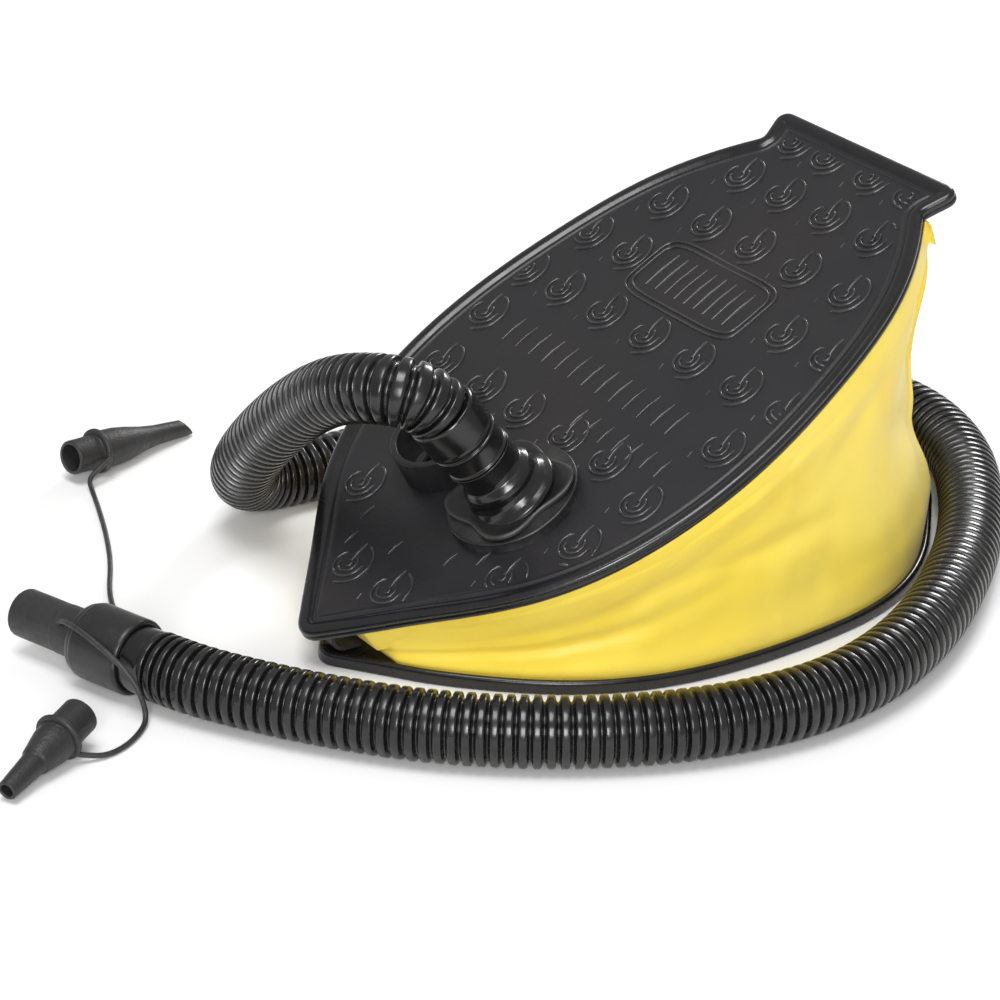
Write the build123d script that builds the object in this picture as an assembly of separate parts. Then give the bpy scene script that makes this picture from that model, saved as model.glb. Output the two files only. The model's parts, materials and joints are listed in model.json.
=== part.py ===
from build123d import *
from math import cos, pi, radians, sin, tan
import os

# A foot-operated bellows air pump: two tread plates hinged at the pointed front, a vinyl
# bellows and a return spring between them, an air inlet and an air outlet in the upper
# plate, and a corrugated hose with a nozzle and two tethered tip adapters.
# Millimetres. +X runs from the pointed front to the tail, +Z is up, and the pump without
# its hose stands centred on the origin.

# ---- driving dimensions ----------------------------------------------------------------
BASE_LENGTH = 269.0        # virtual front corner to the rear end
BASE_HALF_WIDTH = 87.3
TOP_LENGTH = 280.0         # virtual front corner to the tail edge
TOP_HALF_WIDTH = 88.5
TAIL_HALF_WIDTH = 51.0
NECK_HALF_WIDTH = 45.2
NECK_FROM_TAIL = 15.1
TIP_RADIUS = 8.0
TAIL_CORNER_RADIUS = 4.5
PLATE_T = 5.0              # over the rim
FIELD_DROP = 1.2           # how far the tread field lies under the rim
RIM_WIDTH = 5.5
RIM_ROUND = 1.6
CURVE_STEPS = 10           # in one curve of the field's edge

OPEN_ANGLE = 26.8          # between the plates at rest
CLOSED_GAP = 12.3          # between the plates' facing sides when they are parallel
HINGE_TO_BASE_TIP = 9.2
HINGE_TO_TOP_TIP = 14.8
WEB_T = 1.3                # live hinge
WEB_HALF_WIDTH = 5.0
WEB_LOWER_LEG = 6.0
WEB_UPPER_LEG = 2.0

BELLOWS_INSET = 2.6        # from the plates' outlines
BELLOWS_WALL = 0.9
BELLOWS_BULGE = 3.0        # of the middle over the ends
BELLOWS_LOWER_FRONT = 10.0  # from the hinge
BELLOWS_UPPER_FRONT = 3.6

SPRING_FROM_HINGE = 135.0
SPRING_TURN_RADIUS = 27.0
SPRING_WIRE = 2.8
SPRING_TURNS = 4.5
SPRING_DEAD_TURNS = 0.75   # flat turns at each end
SEAT_RADIUS = 32.0
SEAT_BORE = 12.0
SEAT_T = 2.0
SEAT_BOSS_H = 3.0
SEAT_BOSS_WALL = 2.5
SPRING_SLACK = 1.0         # between the coil and the boss inside it

PORT_FROM_HINGE = 72.2
PORT_SPACING = 42.0        # between the inlet's and the outlet's axes
PORT_BORE = 14.5           # radii from here on, unless a name says otherwise
PORT_WALL = 1.5
PORT_FIT = 0.1
SPIGOT_DROP = 3.0          # of the port spigots below the plate
LOCK_RING_OUTER = 20.5
LOCK_RING_T = 2.8
COLLAR_OUTER = 17.0
COLLAR_H = 12.0            # of the inlet collar over the rim
GASKET_OUTER = 24.5
GASKET_TOP = 8.0           # over the plate's underside, as are the next two
FLANGE_T = 2.5
FLANGE_MEAN = 21.3
FLANGE_LOBE = 2.8
FLANGE_LOBES = 4
SKIRT_DEPTH = 3.0
SKIRT_WALL = 1.5
DOME = 15.5
SPOUT_LEAN = 12.0          # of the outlet's spout from the plate's normal, degrees
SPOUT_HEADING = 142.0      # of that lean in the plate's plane, from +X, degrees
BARREL = 11.6
BARREL_TOP = 19.0          # along the spout from the dome's centre, as are the next three
SPOUT_TOP = 33.0
CUFF_STEP = 28.0
CUFF_TOP = 37.0
SPOUT_OUTER = 9.4
SPOUT_BORE = 7.9
CUFF_FIT = 0.05
CUFF_LOWER = 11.4
CUFF_UPPER = 12.1
BEAD = 0.8                 # raised rings on the cuff

SPIDER_T = 1.5
SPIDER_Z = 0.5             # over the plate's underside
SPIDER_RIM = 11.5
SPIDER_HUB = 3.0
SPIDER_SPOKE = 2.4
SPIDER_FIT = 0.05
DISC = 13.0
DISC_T = 1.2
DISC_STEM = 1.45
DISC_HEAD = 2.6
DISC_HEAD_T = 0.95
DISC_TRAVEL = 1.5
STEM_FIT = 0.05
DISC_GAP = 0.05            # between a seated disc or head and what it seats on

HOSE = 12.25               # over the ridges
HOSE_WALL = 0.9
NOZZLE_START = Vector(-189.8, 8.9, 13.65)  # where the hose's end cuff meets its ridges
NOZZLE_HEADING = 108.0     # from +X, degrees
END_CUFF = 11.7
END_CUFF_SHOWN = 8.0
END_CUFF_HELD = 15.0
NOZZLE_COLLAR = 13.65
COLLAR_LENGTH = 23.7
COLLAR_FIT = 0.05
NOZZLE_ROOT = 8.95         # in the collar and as far as the tethers
NOZZLE_ROOT_SHOWN = 10.5
NOZZLE_TUBE = 8.75
NOZZLE_BORE = 6.75
NOZZLE_SHOWN = 31.0
NOZZLE_FLANGE_T = 3.0

STRAP_OUTER = 8.75
STRAP_FIT = 0.07
STRAP_T = 2.0
STRAP_FROM_BASE = 12.2
ADAPTER_ROOT = 6.65
ADAPTER_BORE = 5.2
ADAPTER_BEAD = 0.45
ADAPTER_SHOULDER = 7.4
LONG_ADAPTER = 62.0
SHORT_ADAPTER = 44.0
TETHER = 0.95

# Outline stations: share of the length, share of the half width.
TOP_SIDE = [(0.107, 0.365), (0.204, 0.684), (0.336, 0.918), (0.5, 1.0), (0.679, 0.934), (0.825, 0.788)]
BASE_SIDE = [(0.094, 0.401), (0.196, 0.71), (0.36, 0.955), (0.555, 1.0), (0.72, 0.92), (0.84, 0.7), (0.94, 0.38)]
TOP_HALF_ANGLE = 48.0      # of the pointed front
BASE_HALF_ANGLE = 54.0
BELLOWS_SIDE = [(0.09, 0.62), (0.24, 0.91), (0.5, 1.0), (0.72, 0.92), (0.85, 0.67), (0.945, 0.34)]
BELLOWS_FRONT_SHARE = 0.3  # half width of the straight front edge

# ---- derived places --------------------------------------------------------------------
HINGE_Z = PLATE_T + CLOSED_GAP / 2
TIP_CUT = TIP_RADIUS * (1 / sin(radians(TOP_HALF_ANGLE)) - 1)
FRONT_REACH = ((HINGE_TO_TOP_TIP - TIP_CUT - RIM_ROUND) * cos(radians(OPEN_ANGLE))
               + (CLOSED_GAP / 2 + PLATE_T - RIM_ROUND) * sin(radians(OPEN_ANGLE)) + RIM_ROUND)
HINGE_X = (FRONT_REACH - BASE_LENGTH + HINGE_TO_BASE_TIP) / 2


def hinged_plane(angle, offset):
    """The plane that lies offset from the hinge axis and is opened by angle."""
    a = radians(angle)
    origin = (HINGE_X - offset * sin(a), 0, HINGE_Z + offset * cos(a))
    return Plane(origin=origin, x_dir=(cos(a), 0, sin(a)), z_dir=(-sin(a), 0, cos(a)))


BASE_PLANE = hinged_plane(0, -CLOSED_GAP / 2 - PLATE_T)
BASE_TOP_PLANE = hinged_plane(0, -CLOSED_GAP / 2)
TOP_PLANE = hinged_plane(OPEN_ANGLE, CLOSED_GAP / 2)
OUTLET = Vector(PORT_FROM_HINGE, -PORT_SPACING / 2, 0)
INLET = Vector(PORT_FROM_HINGE, PORT_SPACING / 2, 0)
PORT_OUTER = PORT_BORE + PORT_WALL
DOME_Z = GASKET_TOP + FLANGE_T
SPOUT_DIR = Vector(0, 0, 1).rotate(Axis.Y, SPOUT_LEAN).rotate(Axis.Z, SPOUT_HEADING)
SPOUT_PLANE = Plane(origin=(0, 0, DOME_Z), z_dir=SPOUT_DIR)


def in_top(point):
    """A point of the upper plate's frame, in the pump's frame."""
    return TOP_PLANE.from_local_coords(point)


NOZZLE_DIR = Vector(cos(radians(NOZZLE_HEADING)), sin(radians(NOZZLE_HEADING)), 0)
HOSE_EXIT = in_top(OUTLET + Vector(0, 0, DOME_Z) + SPOUT_DIR * CUFF_TOP)
HOSE_DIR = in_top(SPOUT_DIR) - in_top(Vector(0, 0, 0))

# The hose's route: out of the outlet, over the front of the pump, down behind it, along
# its far side, round its rear and back past its near side to the nozzle.
HOSE_UPPER = [HOSE_EXIT, HOSE_EXIT + HOSE_DIR * 11, Vector(-103.6, -8, 101), Vector(-109.4, 7, 97.8),
              Vector(-110.3, 28, 87.5), Vector(-109.5, 57, 66), Vector(-106.9, 86, 39.5),
              Vector(-98.5, 106, 19.5), Vector(-82, 113, HOSE), Vector(-55.5, 110.5, HOSE)]
HOSE_FLOOR = [Vector(-55.5, 110.5, HOSE), Vector(-29, 108, HOSE), Vector(21, 106, HOSE),
              Vector(71, 102, HOSE), Vector(115, 89, HOSE), Vector(146, 62, HOSE),
              Vector(160.6, 27, HOSE), Vector(152, -13, HOSE), Vector(126, -51, HOSE),
              Vector(90, -87, HOSE), Vector(43, -119, HOSE), Vector(-4.1, -134, HOSE),
              Vector(-49.1, -129, HOSE), Vector(-92.1, -110, HOSE), Vector(-131.1, -80, HOSE),
              Vector(-158.1, -47, HOSE), Vector(-176.5, -19, 12.8),
              NOZZLE_START - NOZZLE_DIR * 12, NOZZLE_START]

# The adapters lie on the floor, tip down: a point of the axis at the open end, and the axis.
LONG_ROOT = Vector(-133.7, 174.2, 10.6)
LONG_DIR = Vector(0.972, 0.205, -0.115).normalized()
SHORT_ROOT = Vector(-225.1, -2.0, 11.1)
SHORT_DIR = Vector(-0.876, -0.455, -0.15).normalized()
LONG_TETHER = [Vector(-193.0, 43.1, 13.65), Vector(-186.5, 45.5, 12.8), Vector(-180.0, 51.0, 8.5),
               Vector(-175.5, 60.0, 3.6), Vector(-172.3, 71.0, 1.2), Vector(-166.4, 86.0, 1.0),
               Vector(-154.3, 106.2, 1.0), Vector(-144.1, 128.6, 1.0), Vector(-135.4, 151.0, 1.0),
               Vector(-132.0, 161.0, 1.4), Vector(-130.6, 166.4, 4.0), Vector(-125.0, 166.6, 7.2),
               Vector(-119.2, 168.9, 8.9)]
SHORT_TETHER = [Vector(-207.4, 45.2, 19.4), Vector(-210.4, 38.0, 24.7), Vector(-208.7, 28.0, 24.5), Vector(-207.0, 16.5, 22.6),
                Vector(-204.6, 7.3, 19.2), Vector(-202.4, 1.8, 14.2), Vector(-201.0, -0.4, 8.2),
                Vector(-200.4, -1.6, 3.4), Vector(-202.6, -4.6, 1.2), Vector(-208.5, -9.6, 1.0),
                Vector(-215.5, -13.6, 1.0), Vector(-222.5, -15.2, 1.1), Vector(-228.4, -14.4, 2.2),
                Vector(-233.2, -12.9, 3.9)]


# ---- helpers ---------------------------------------------------------------------------
def ring(outer, inner, low, high):
    """An upright ring between two heights."""
    body = Pos(0, 0, (low + high) / 2) * Cylinder(outer, high - low)
    return body - Pos(0, 0, (low + high) / 2) * Cylinder(inner, 2 * (high - low))


def rod(radius, low, high):
    """An upright cylinder between two heights."""
    return Pos(0, 0, (low + high) / 2) * Cylinder(radius, high - low)


def bend_radii(points):
    """One radius for each corner, as large as its two runs allow."""
    radii = []
    for before, corner, after in zip(points, points[1:], points[2:]):
        turn = radians((corner - before).get_angle(after - corner))
        shorter = min((corner - before).length, (after - corner).length)
        radii.append(0.45 * shorter / tan(turn / 2))
    return radii


def tube(name, points, section, area):
    """Sweep a section along straight runs joined by tangent arcs, and say how it went."""
    radii = bend_radii(points)
    path = FilletPolyline(*points, radius=radii)
    start = Plane(origin=points[0], z_dir=points[1] - points[0])
    solid = sweep(start * section, path=path)
    print(name, "length", round(path.length, 1), "volume share", round(solid.volume / (area * path.length), 4),
          "radii", [round(r) for r in radii])
    return solid


def mirrored(points):
    """The same points on the other side of the pump, in reverse order."""
    return [(x, -y) for x, y in reversed(points)]


def pointed_front(half_angle):
    """The rounded front corner's two ends and its middle."""
    a = radians(half_angle)
    along = TIP_RADIUS / tan(a)
    end = (along * cos(a), along * sin(a))
    middle = (TIP_RADIUS * (1 / sin(a) - 1), 0)
    return end, middle


def stations(side, length, half_width):
    return [(u * length, v * half_width) for u, v in side]


# ---- plates ----------------------------------------------------------------------------
def top_outline():
    """Pointed front, full sides, a neck and a flared fish tail."""
    a = radians(TOP_HALF_ANGLE)
    end, middle = pointed_front(TOP_HALF_ANGLE)
    neck = (TOP_LENGTH - NECK_FROM_TAIL, NECK_HALF_WIDTH)
    side = [end] + stations(TOP_SIDE, TOP_LENGTH, TOP_HALF_WIDTH) + [neck]
    run_in = (0.72, -0.69)
    corner = (TOP_LENGTH, TAIL_HALF_WIDTH)
    edges = [
        ThreePointArc((end[0], -end[1]), middle, end),
        Spline(*side, tangents=[(cos(a), sin(a)), run_in]),
        Polyline(neck, corner, (corner[0], -corner[1]), (neck[0], -neck[1])),
        Spline(*mirrored(side), tangents=[(-run_in[0], run_in[1]), (-cos(a), sin(a))]),
    ]
    face = make_face(edges)
    face = fillet([v for v in face.vertices() if v.X > TOP_LENGTH - 1], TAIL_CORNER_RADIUS)
    necks = [v for v in face.vertices() if abs(v.X - neck[0]) < 0.1]
    return Pos(-HINGE_TO_TOP_TIP, 0, 0) * fillet(necks, TAIL_CORNER_RADIUS / 2)


def base_outline():
    """Pointed front, full sides and a rounded rear."""
    a = radians(BASE_HALF_ANGLE)
    end, middle = pointed_front(BASE_HALF_ANGLE)
    side = [end] + stations(BASE_SIDE, BASE_LENGTH, BASE_HALF_WIDTH)
    back = mirrored(side)
    edges = [
        ThreePointArc((end[0], -end[1]), middle, end),
        Spline(*side, (BASE_LENGTH, 0), tangents=[(cos(a), sin(a)), (0, -1)]),
        Spline((BASE_LENGTH, 0), *back, tangents=[(0, -1), (-cos(a), sin(a))]),
    ]
    return Pos(-HINGE_TO_BASE_TIP, 0, 0) * make_face(edges)


def inset_outline(outline, distance):
    """The outline moved inwards, its curves redrawn as plain splines."""
    edges = []
    for edge in offset(outline, -distance).edges():
        if edge.geom_type == GeomType.LINE:
            edges.append(edge)
        else:
            points = [edge @ (i / CURVE_STEPS) for i in range(CURVE_STEPS + 1)]
            edges.append(Spline(*points, tangents=[edge % 0, edge % 1]))
    return make_face(edges)


def rimmed(outline):
    """A plate on its underside's plane, rounded above and eased below."""
    plate = extrude(outline, PLATE_T)
    plate = fillet(plate.faces().sort_by(Axis.Z)[-1].edges(), RIM_ROUND)
    return chamfer(plate.faces().sort_by(Axis.Z)[0].edges(), RIM_ROUND / 2)


def base_plate():
    return BASE_PLANE.location * rimmed(base_outline())


def top_plate():
    """The tread plate: a field sunk inside its rim, and two port holes."""
    outline = top_outline()
    plate = rimmed(outline)
    plate -= Pos(0, 0, PLATE_T - FIELD_DROP) * extrude(inset_outline(outline, RIM_WIDTH), PLATE_T)
    for port in (INLET, OUTLET):
        plate -= Pos(port) * Cylinder(PORT_OUTER + PORT_FIT, 4 * PLATE_T)
    return TOP_PLANE.location * plate


def hinge_web():
    """The live hinge: a C of rubber round the hinge axis, with a short leg on each plate."""
    outer = CLOSED_GAP / 2
    middle = outer - WEB_T / 2
    low = -pi / 2
    high = radians(90 + OPEN_ANGLE) - 2 * pi
    mid = (low + high) / 2
    flat = Plane(origin=(HINGE_X, 0, HINGE_Z), x_dir=(1, 0, 0), z_dir=(0, -1, 0))
    start = Vector(0, -middle)
    end = Vector(middle * cos(high), middle * sin(high))
    along = Vector(cos(radians(OPEN_ANGLE)), sin(radians(OPEN_ANGLE)))
    path = Wire([
        Edge.make_line(start + Vector(WEB_LOWER_LEG, 0), start),
        Edge.make_three_point_arc(start, Vector(middle * cos(mid), middle * sin(mid)), end),
        Edge.make_line(end, end + along * WEB_UPPER_LEG),
    ])
    strip = Plane(origin=start + Vector(WEB_LOWER_LEG, 0), x_dir=(0, 0, 1), z_dir=(-1, 0, 0))
    web = sweep(strip * Rectangle(2 * WEB_HALF_WIDTH, WEB_T), path=path)
    return flat.location * web


# ---- bellows and spring ----------------------------------------------------------------
def bellows_outline(front, rear, half_width, inset):
    """A blunt-fronted egg between two distances from the hinge."""
    front += inset
    length = rear - inset - front
    half = half_width - inset
    corner = (0, BELLOWS_FRONT_SHARE * half)
    side = [corner] + stations(BELLOWS_SIDE, length, half)
    lead = (0.35, 1)
    edges = [
        Line((0, -corner[1]), corner),
        Spline(*side, (length, 0), tangents=[lead, (0, -1)]),
        Spline((length, 0), *mirrored(side), tangents=[(0, -1), (-lead[0], lead[1])]),
    ]
    return Pos(front, 0, 0) * make_face(edges)


def bellows_body(inset):
    """The closed volume inside the given inset of the bellows' wall."""
    rear_low = BASE_LENGTH - HINGE_TO_BASE_TIP - BELLOWS_INSET
    rear_high = TOP_LENGTH - NECK_FROM_TAIL - HINGE_TO_TOP_TIP + BELLOWS_INSET
    half = BASE_HALF_WIDTH - BELLOWS_INSET
    front_mid = (BELLOWS_LOWER_FRONT + BELLOWS_UPPER_FRONT) / 2
    rear_mid = (rear_low + rear_high) / 2 + BELLOWS_BULGE
    sections = [
        BASE_TOP_PLANE * bellows_outline(BELLOWS_LOWER_FRONT, rear_low, half, inset),
        hinged_plane(OPEN_ANGLE / 2, 0) * bellows_outline(front_mid, rear_mid, half + BELLOWS_BULGE, inset),
        TOP_PLANE * bellows_outline(BELLOWS_UPPER_FRONT, rear_high, half, inset),
    ]
    return loft(sections, ruled=True)


def bellows():
    return bellows_body(0) - bellows_body(BELLOWS_WALL)


def spring_point(turn):
    """The coil's centreline: a helix bent round the hinge, flat at both ends."""
    active = SPRING_TURNS - 2 * SPRING_DEAD_TURNS
    share = min(max((turn - SPRING_DEAD_TURNS) / active, 0), 1)
    clear = CLOSED_GAP / 2 - SEAT_T - SPRING_WIRE / 2
    plane = hinged_plane(share * OPEN_ANGLE, (2 * share - 1) * clear)
    a = 2 * pi * turn
    return plane.from_local_coords(Vector(SPRING_FROM_HINGE + SPRING_TURN_RADIUS * cos(a),
                                          SPRING_TURN_RADIUS * sin(a), 0))


def spring():
    steps = 16
    points = [spring_point(i / steps) for i in range(int(SPRING_TURNS * steps) + 1)]
    radius = SPRING_WIRE / 2
    return tube("spring", points, Circle(radius), pi * radius ** 2)


def spring_seat():
    """A flat ring with a boss that centres the coil."""
    boss = SPRING_TURN_RADIUS - SPRING_WIRE / 2 - SPRING_SLACK
    return ring(SEAT_RADIUS, SEAT_BORE, 0, SEAT_T) + ring(boss, boss - SEAT_BOSS_WALL, 0, SEAT_T + SEAT_BOSS_H)


def spring_seat_lower():
    return BASE_TOP_PLANE.location * Pos(SPRING_FROM_HINGE, 0, 0) * spring_seat()


def spring_seat_upper():
    return TOP_PLANE.location * Pos(SPRING_FROM_HINGE, 0, 0) * Rot(180, 0, 0) * spring_seat()


# ---- ports, in the upper plate's frame with the port's axis at the origin ---------------
def lock_ring():
    return ring(LOCK_RING_OUTER, PORT_OUTER + PORT_FIT, -LOCK_RING_T, 0)


def inlet_collar():
    """The open socket above the plate and the spigot that holds it in the plate."""
    top = PLATE_T + COLLAR_H
    collar = ring(COLLAR_OUTER, PORT_BORE, PLATE_T - FIELD_DROP, top)
    collar = fillet(collar.edges().group_by(Axis.Z)[-1], PORT_WALL / 3)
    return collar + ring(PORT_OUTER, PORT_BORE, -SPIGOT_DROP, PLATE_T - FIELD_DROP)


def outlet_bush():
    return ring(PORT_OUTER, PORT_BORE, -SPIGOT_DROP, GASKET_TOP)


def outlet_gasket():
    gasket = ring(GASKET_OUTER, PORT_OUTER + PORT_FIT, PLATE_T - FIELD_DROP, GASKET_TOP)
    return fillet(gasket.edges().group_by(Axis.Z)[-1].sort_by(SortBy.LENGTH)[-1], PORT_WALL / 2)


def valve_spider():
    """A rim, a hub and four spokes that the valve disc seats on."""
    top = SPIDER_Z + SPIDER_T
    spider = ring(PORT_BORE - SPIDER_FIT, SPIDER_RIM, SPIDER_Z, top)
    for quarter in (0, 90):
        spoke = Box(2 * SPIDER_RIM + PORT_WALL, SPIDER_SPOKE, SPIDER_T)
        spider += Rot(0, 0, quarter) * Pos(0, 0, SPIDER_Z + SPIDER_T / 2) * spoke
    spider += rod(SPIDER_HUB, SPIDER_Z, top)
    return spider - rod(DISC_STEM + STEM_FIT, SPIDER_Z - SPIDER_T, top + SPIDER_T)


def inlet_valve_disc():
    """Hangs open below the spider from the head of its stem."""
    head = SPIDER_Z + SPIDER_T + DISC_GAP
    low = SPIDER_Z - DISC_GAP - DISC_TRAVEL - DISC_T
    disc = rod(DISC, low, low + DISC_T) + rod(DISC_STEM, low, head)
    return disc + rod(DISC_HEAD, head, head + DISC_HEAD_T)


def outlet_valve_disc():
    """Lies shut on the spider, with its stem's head clear below."""
    seat = SPIDER_Z + SPIDER_T + DISC_GAP
    head = SPIDER_Z - DISC_GAP - DISC_TRAVEL
    disc = rod(DISC, seat, seat + DISC_T) + rod(DISC_STEM, head, seat)
    return disc + rod(DISC_HEAD, head - DISC_HEAD_T, head)


def lobed_flange():
    """The outlet's grip flange: a round plate with shallow lobes."""
    count = 8 * FLANGE_LOBES
    points = []
    for i in range(count):
        a = 2 * pi * i / count
        r = FLANGE_MEAN - FLANGE_LOBE * cos(FLANGE_LOBES * a)
        points.append((r * cos(a), r * sin(a)))
    flange = Pos(0, 0, GASKET_TOP) * extrude(make_face(Spline(*points, periodic=True)), FLANGE_T)
    return fillet(flange.edges().group_by(Axis.Z)[-1], FLANGE_T / 3)


def outlet_connector():
    """Lobed flange, dome, leaning barrel and the spout inside the hose's cuff."""
    dome = Pos(0, 0, DOME_Z) * Sphere(DOME) & rod(2 * DOME, GASKET_TOP, DOME_Z + 2 * DOME)
    lean = SPOUT_PLANE.location
    body = lobed_flange() + dome + lean * rod(BARREL, 0, BARREL_TOP) + lean * rod(SPOUT_OUTER, 0, SPOUT_TOP)
    body -= lean * rod(SPOUT_BORE, 0, 2 * SPOUT_TOP)
    funnel = Pos(0, 0, DOME_Z) * Sphere(SPOUT_BORE)
    throat = rod(SPOUT_BORE, GASKET_TOP - FLANGE_T, DOME_Z)
    skirt_outer = PORT_BORE - PORT_FIT
    skirt = ring(skirt_outer, skirt_outer - SKIRT_WALL, GASKET_TOP - SKIRT_DEPTH, GASKET_TOP)
    return body - funnel - throat + skirt


def hose_cuff():
    """The soft cuff over the spout, with raised rings at its foot and at its step."""
    bore = SPOUT_OUTER + CUFF_FIT
    cuff = rod(CUFF_LOWER, BARREL_TOP, CUFF_STEP) + rod(CUFF_UPPER, CUFF_STEP, CUFF_TOP)
    for place, radius in ((BARREL_TOP + BEAD, CUFF_LOWER), (CUFF_STEP + BEAD, CUFF_UPPER)):
        cuff += Pos(0, 0, place) * Torus(radius, BEAD)
    return SPOUT_PLANE.location * (cuff - rod(bore, 0, 2 * CUFF_TOP))


def at_port(port, piece):
    return TOP_PLANE.location * Pos(port) * piece


# ---- hose ------------------------------------------------------------------------------
def hose(name, points):
    section = Circle(HOSE) - Circle(HOSE - HOSE_WALL)
    return tube(name, points, section, pi * (HOSE ** 2 - (HOSE - HOSE_WALL) ** 2))


NOZZLE_PLANE = Plane(origin=NOZZLE_START, x_dir=(0, 0, 1), z_dir=NOZZLE_DIR)
COLLAR_END = END_CUFF_SHOWN + COLLAR_LENGTH
CUFF_END = END_CUFF_SHOWN + END_CUFF_HELD


def hose_end_cuff():
    return NOZZLE_PLANE.location * ring(END_CUFF, HOSE - HOSE_WALL - BEAD, 0, CUFF_END)


def nozzle_collar():
    """The sleeve that grips the hose's cuff and the nozzle's flange."""
    sleeve = rod(NOZZLE_COLLAR, END_CUFF_SHOWN, COLLAR_END)
    sleeve = fillet(sleeve.edges(), BEAD)
    flange_end = CUFF_END + NOZZLE_FLANGE_T + COLLAR_FIT
    sleeve -= rod(END_CUFF + COLLAR_FIT, 0, flange_end)
    return NOZZLE_PLANE.location * (sleeve - rod(NOZZLE_ROOT + COLLAR_FIT, 0, 2 * COLLAR_END))


def nozzle_tube():
    """The straight nozzle, its slightly wider root, and the flange that the collar holds."""
    low = CUFF_END
    tip = COLLAR_END + NOZZLE_SHOWN
    nozzle = fillet(rod(NOZZLE_TUBE, low, tip).edges().group_by(Axis.Z)[-1], BEAD)
    nozzle += rod(NOZZLE_ROOT, low, COLLAR_END + NOZZLE_ROOT_SHOWN)
    nozzle += rod(END_CUFF, low, low + NOZZLE_FLANGE_T)
    return NOZZLE_PLANE.location * (nozzle - rod(NOZZLE_BORE, 0, 2 * tip))


# ---- adapters --------------------------------------------------------------------------
def adapter(length, stations_):
    """A turned nozzle tip from its open end, with a bead and a shoulder that keep its strap."""
    bead = STRAP_FROM_BASE - STRAP_FIT
    shoulder = STRAP_FROM_BASE + STRAP_T + STRAP_FIT
    outside = [(ADAPTER_ROOT, 0), (ADAPTER_ROOT, bead - 2 * ADAPTER_BEAD), (ADAPTER_ROOT + ADAPTER_BEAD, bead),
               (ADAPTER_ROOT, bead), (ADAPTER_ROOT, shoulder), (ADAPTER_SHOULDER, shoulder)]
    outside += [(r, share * length) for share, r in stations_]
    bore = stations_[-1][1] - 1.1
    inside = [(bore, length), (bore, 0.62 * length), (ADAPTER_BORE, shoulder), (ADAPTER_BORE, 0)]
    profile = make_face(Polyline(*outside, *inside, close=True))
    return revolve(Plane.XZ * profile, Axis.Z)


def laid(root, direction, piece):
    return Plane(origin=root, z_dir=direction).location * piece


def strap_ring():
    return ring(STRAP_OUTER, ADAPTER_ROOT + STRAP_FIT, STRAP_FROM_BASE, STRAP_FROM_BASE + STRAP_T)


def adapter_long():
    profile = [(0.36, 7.3), (0.55, 5.4), (0.78, 4.0), (1.0, 3.3)]
    slant = Pos(0, 0, LONG_ADAPTER + 3.3) * Rot(0, 40, 0) * Box(30, 30, 6)
    return laid(LONG_ROOT, LONG_DIR, adapter(LONG_ADAPTER, profile) - slant)


def adapter_short():
    profile = [(0.42, 7.0), (0.62, 5.2), (0.64, 4.5), (1.0, 3.4)]
    return laid(SHORT_ROOT, SHORT_DIR, adapter(SHORT_ADAPTER, profile))


def tether(name, points):
    return tube(name, points, Circle(TETHER), pi * TETHER ** 2)


PARTS = {
    "base_plate": base_plate,
    "hinge_web": hinge_web,
    "bellows": bellows,
    "spring": spring,
    "spring_seat_lower": spring_seat_lower,
    "spring_seat_upper": spring_seat_upper,
    "top_plate": top_plate,
    "inlet_collar": lambda: at_port(INLET, inlet_collar()),
    "inlet_valve_seat": lambda: at_port(INLET, valve_spider()),
    "inlet_valve_disc": lambda: at_port(INLET, inlet_valve_disc()),
    "inlet_lock_ring": lambda: at_port(INLET, lock_ring()),
    "outlet_bush": lambda: at_port(OUTLET, outlet_bush()),
    "outlet_valve_seat": lambda: at_port(OUTLET, valve_spider()),
    "outlet_valve_disc": lambda: at_port(OUTLET, outlet_valve_disc()),
    "outlet_lock_ring": lambda: at_port(OUTLET, lock_ring()),
    "outlet_gasket": lambda: at_port(OUTLET, outlet_gasket()),
    "outlet_connector": lambda: at_port(OUTLET, outlet_connector()),
    "hose_cuff": lambda: at_port(OUTLET, hose_cuff()),
    "hose_upper": lambda: hose("hose_upper", HOSE_UPPER),
    "hose_floor": lambda: hose("hose_floor", HOSE_FLOOR),
    "hose_end_cuff": hose_end_cuff,
    "nozzle_collar": nozzle_collar,
    "nozzle_tube": nozzle_tube,
    "strap_ring_long": lambda: laid(LONG_ROOT, LONG_DIR, strap_ring()),
    "strap_ring_short": lambda: laid(SHORT_ROOT, SHORT_DIR, strap_ring()),
    "adapter_long": adapter_long,
    "adapter_short": adapter_short,
    "tether_long": lambda: tether("tether_long", LONG_TETHER),
    "tether_short": lambda: tether("tether_short", SHORT_TETHER),
}

os.makedirs("parts", exist_ok=True)
for node, make in PARTS.items():
    export_step(make(), f"parts/{node}.step")
print("hinge axis at", round(HINGE_X, 3), round(HINGE_Z, 3))
print("plate normal", [round(v, 5) for v in TOP_PLANE.z_dir])
print("inlet axis through", in_top(INLET), "outlet axis through", in_top(OUTLET))
print("hose leaves at", HOSE_EXIT, "along", HOSE_DIR)
print("adapter strap centres", LONG_ROOT + LONG_DIR * STRAP_FROM_BASE, SHORT_ROOT + SHORT_DIR * STRAP_FROM_BASE)
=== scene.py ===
"""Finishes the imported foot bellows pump: studio, hose, bellows, tread plates, ports and tips."""

import json
import logging
import math
from dataclasses import dataclass, field
from enum import Enum
from typing import Callable, Sequence

import bpy
import numpy as np
from mathutils import Matrix, Vector, geometry, noise


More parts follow.
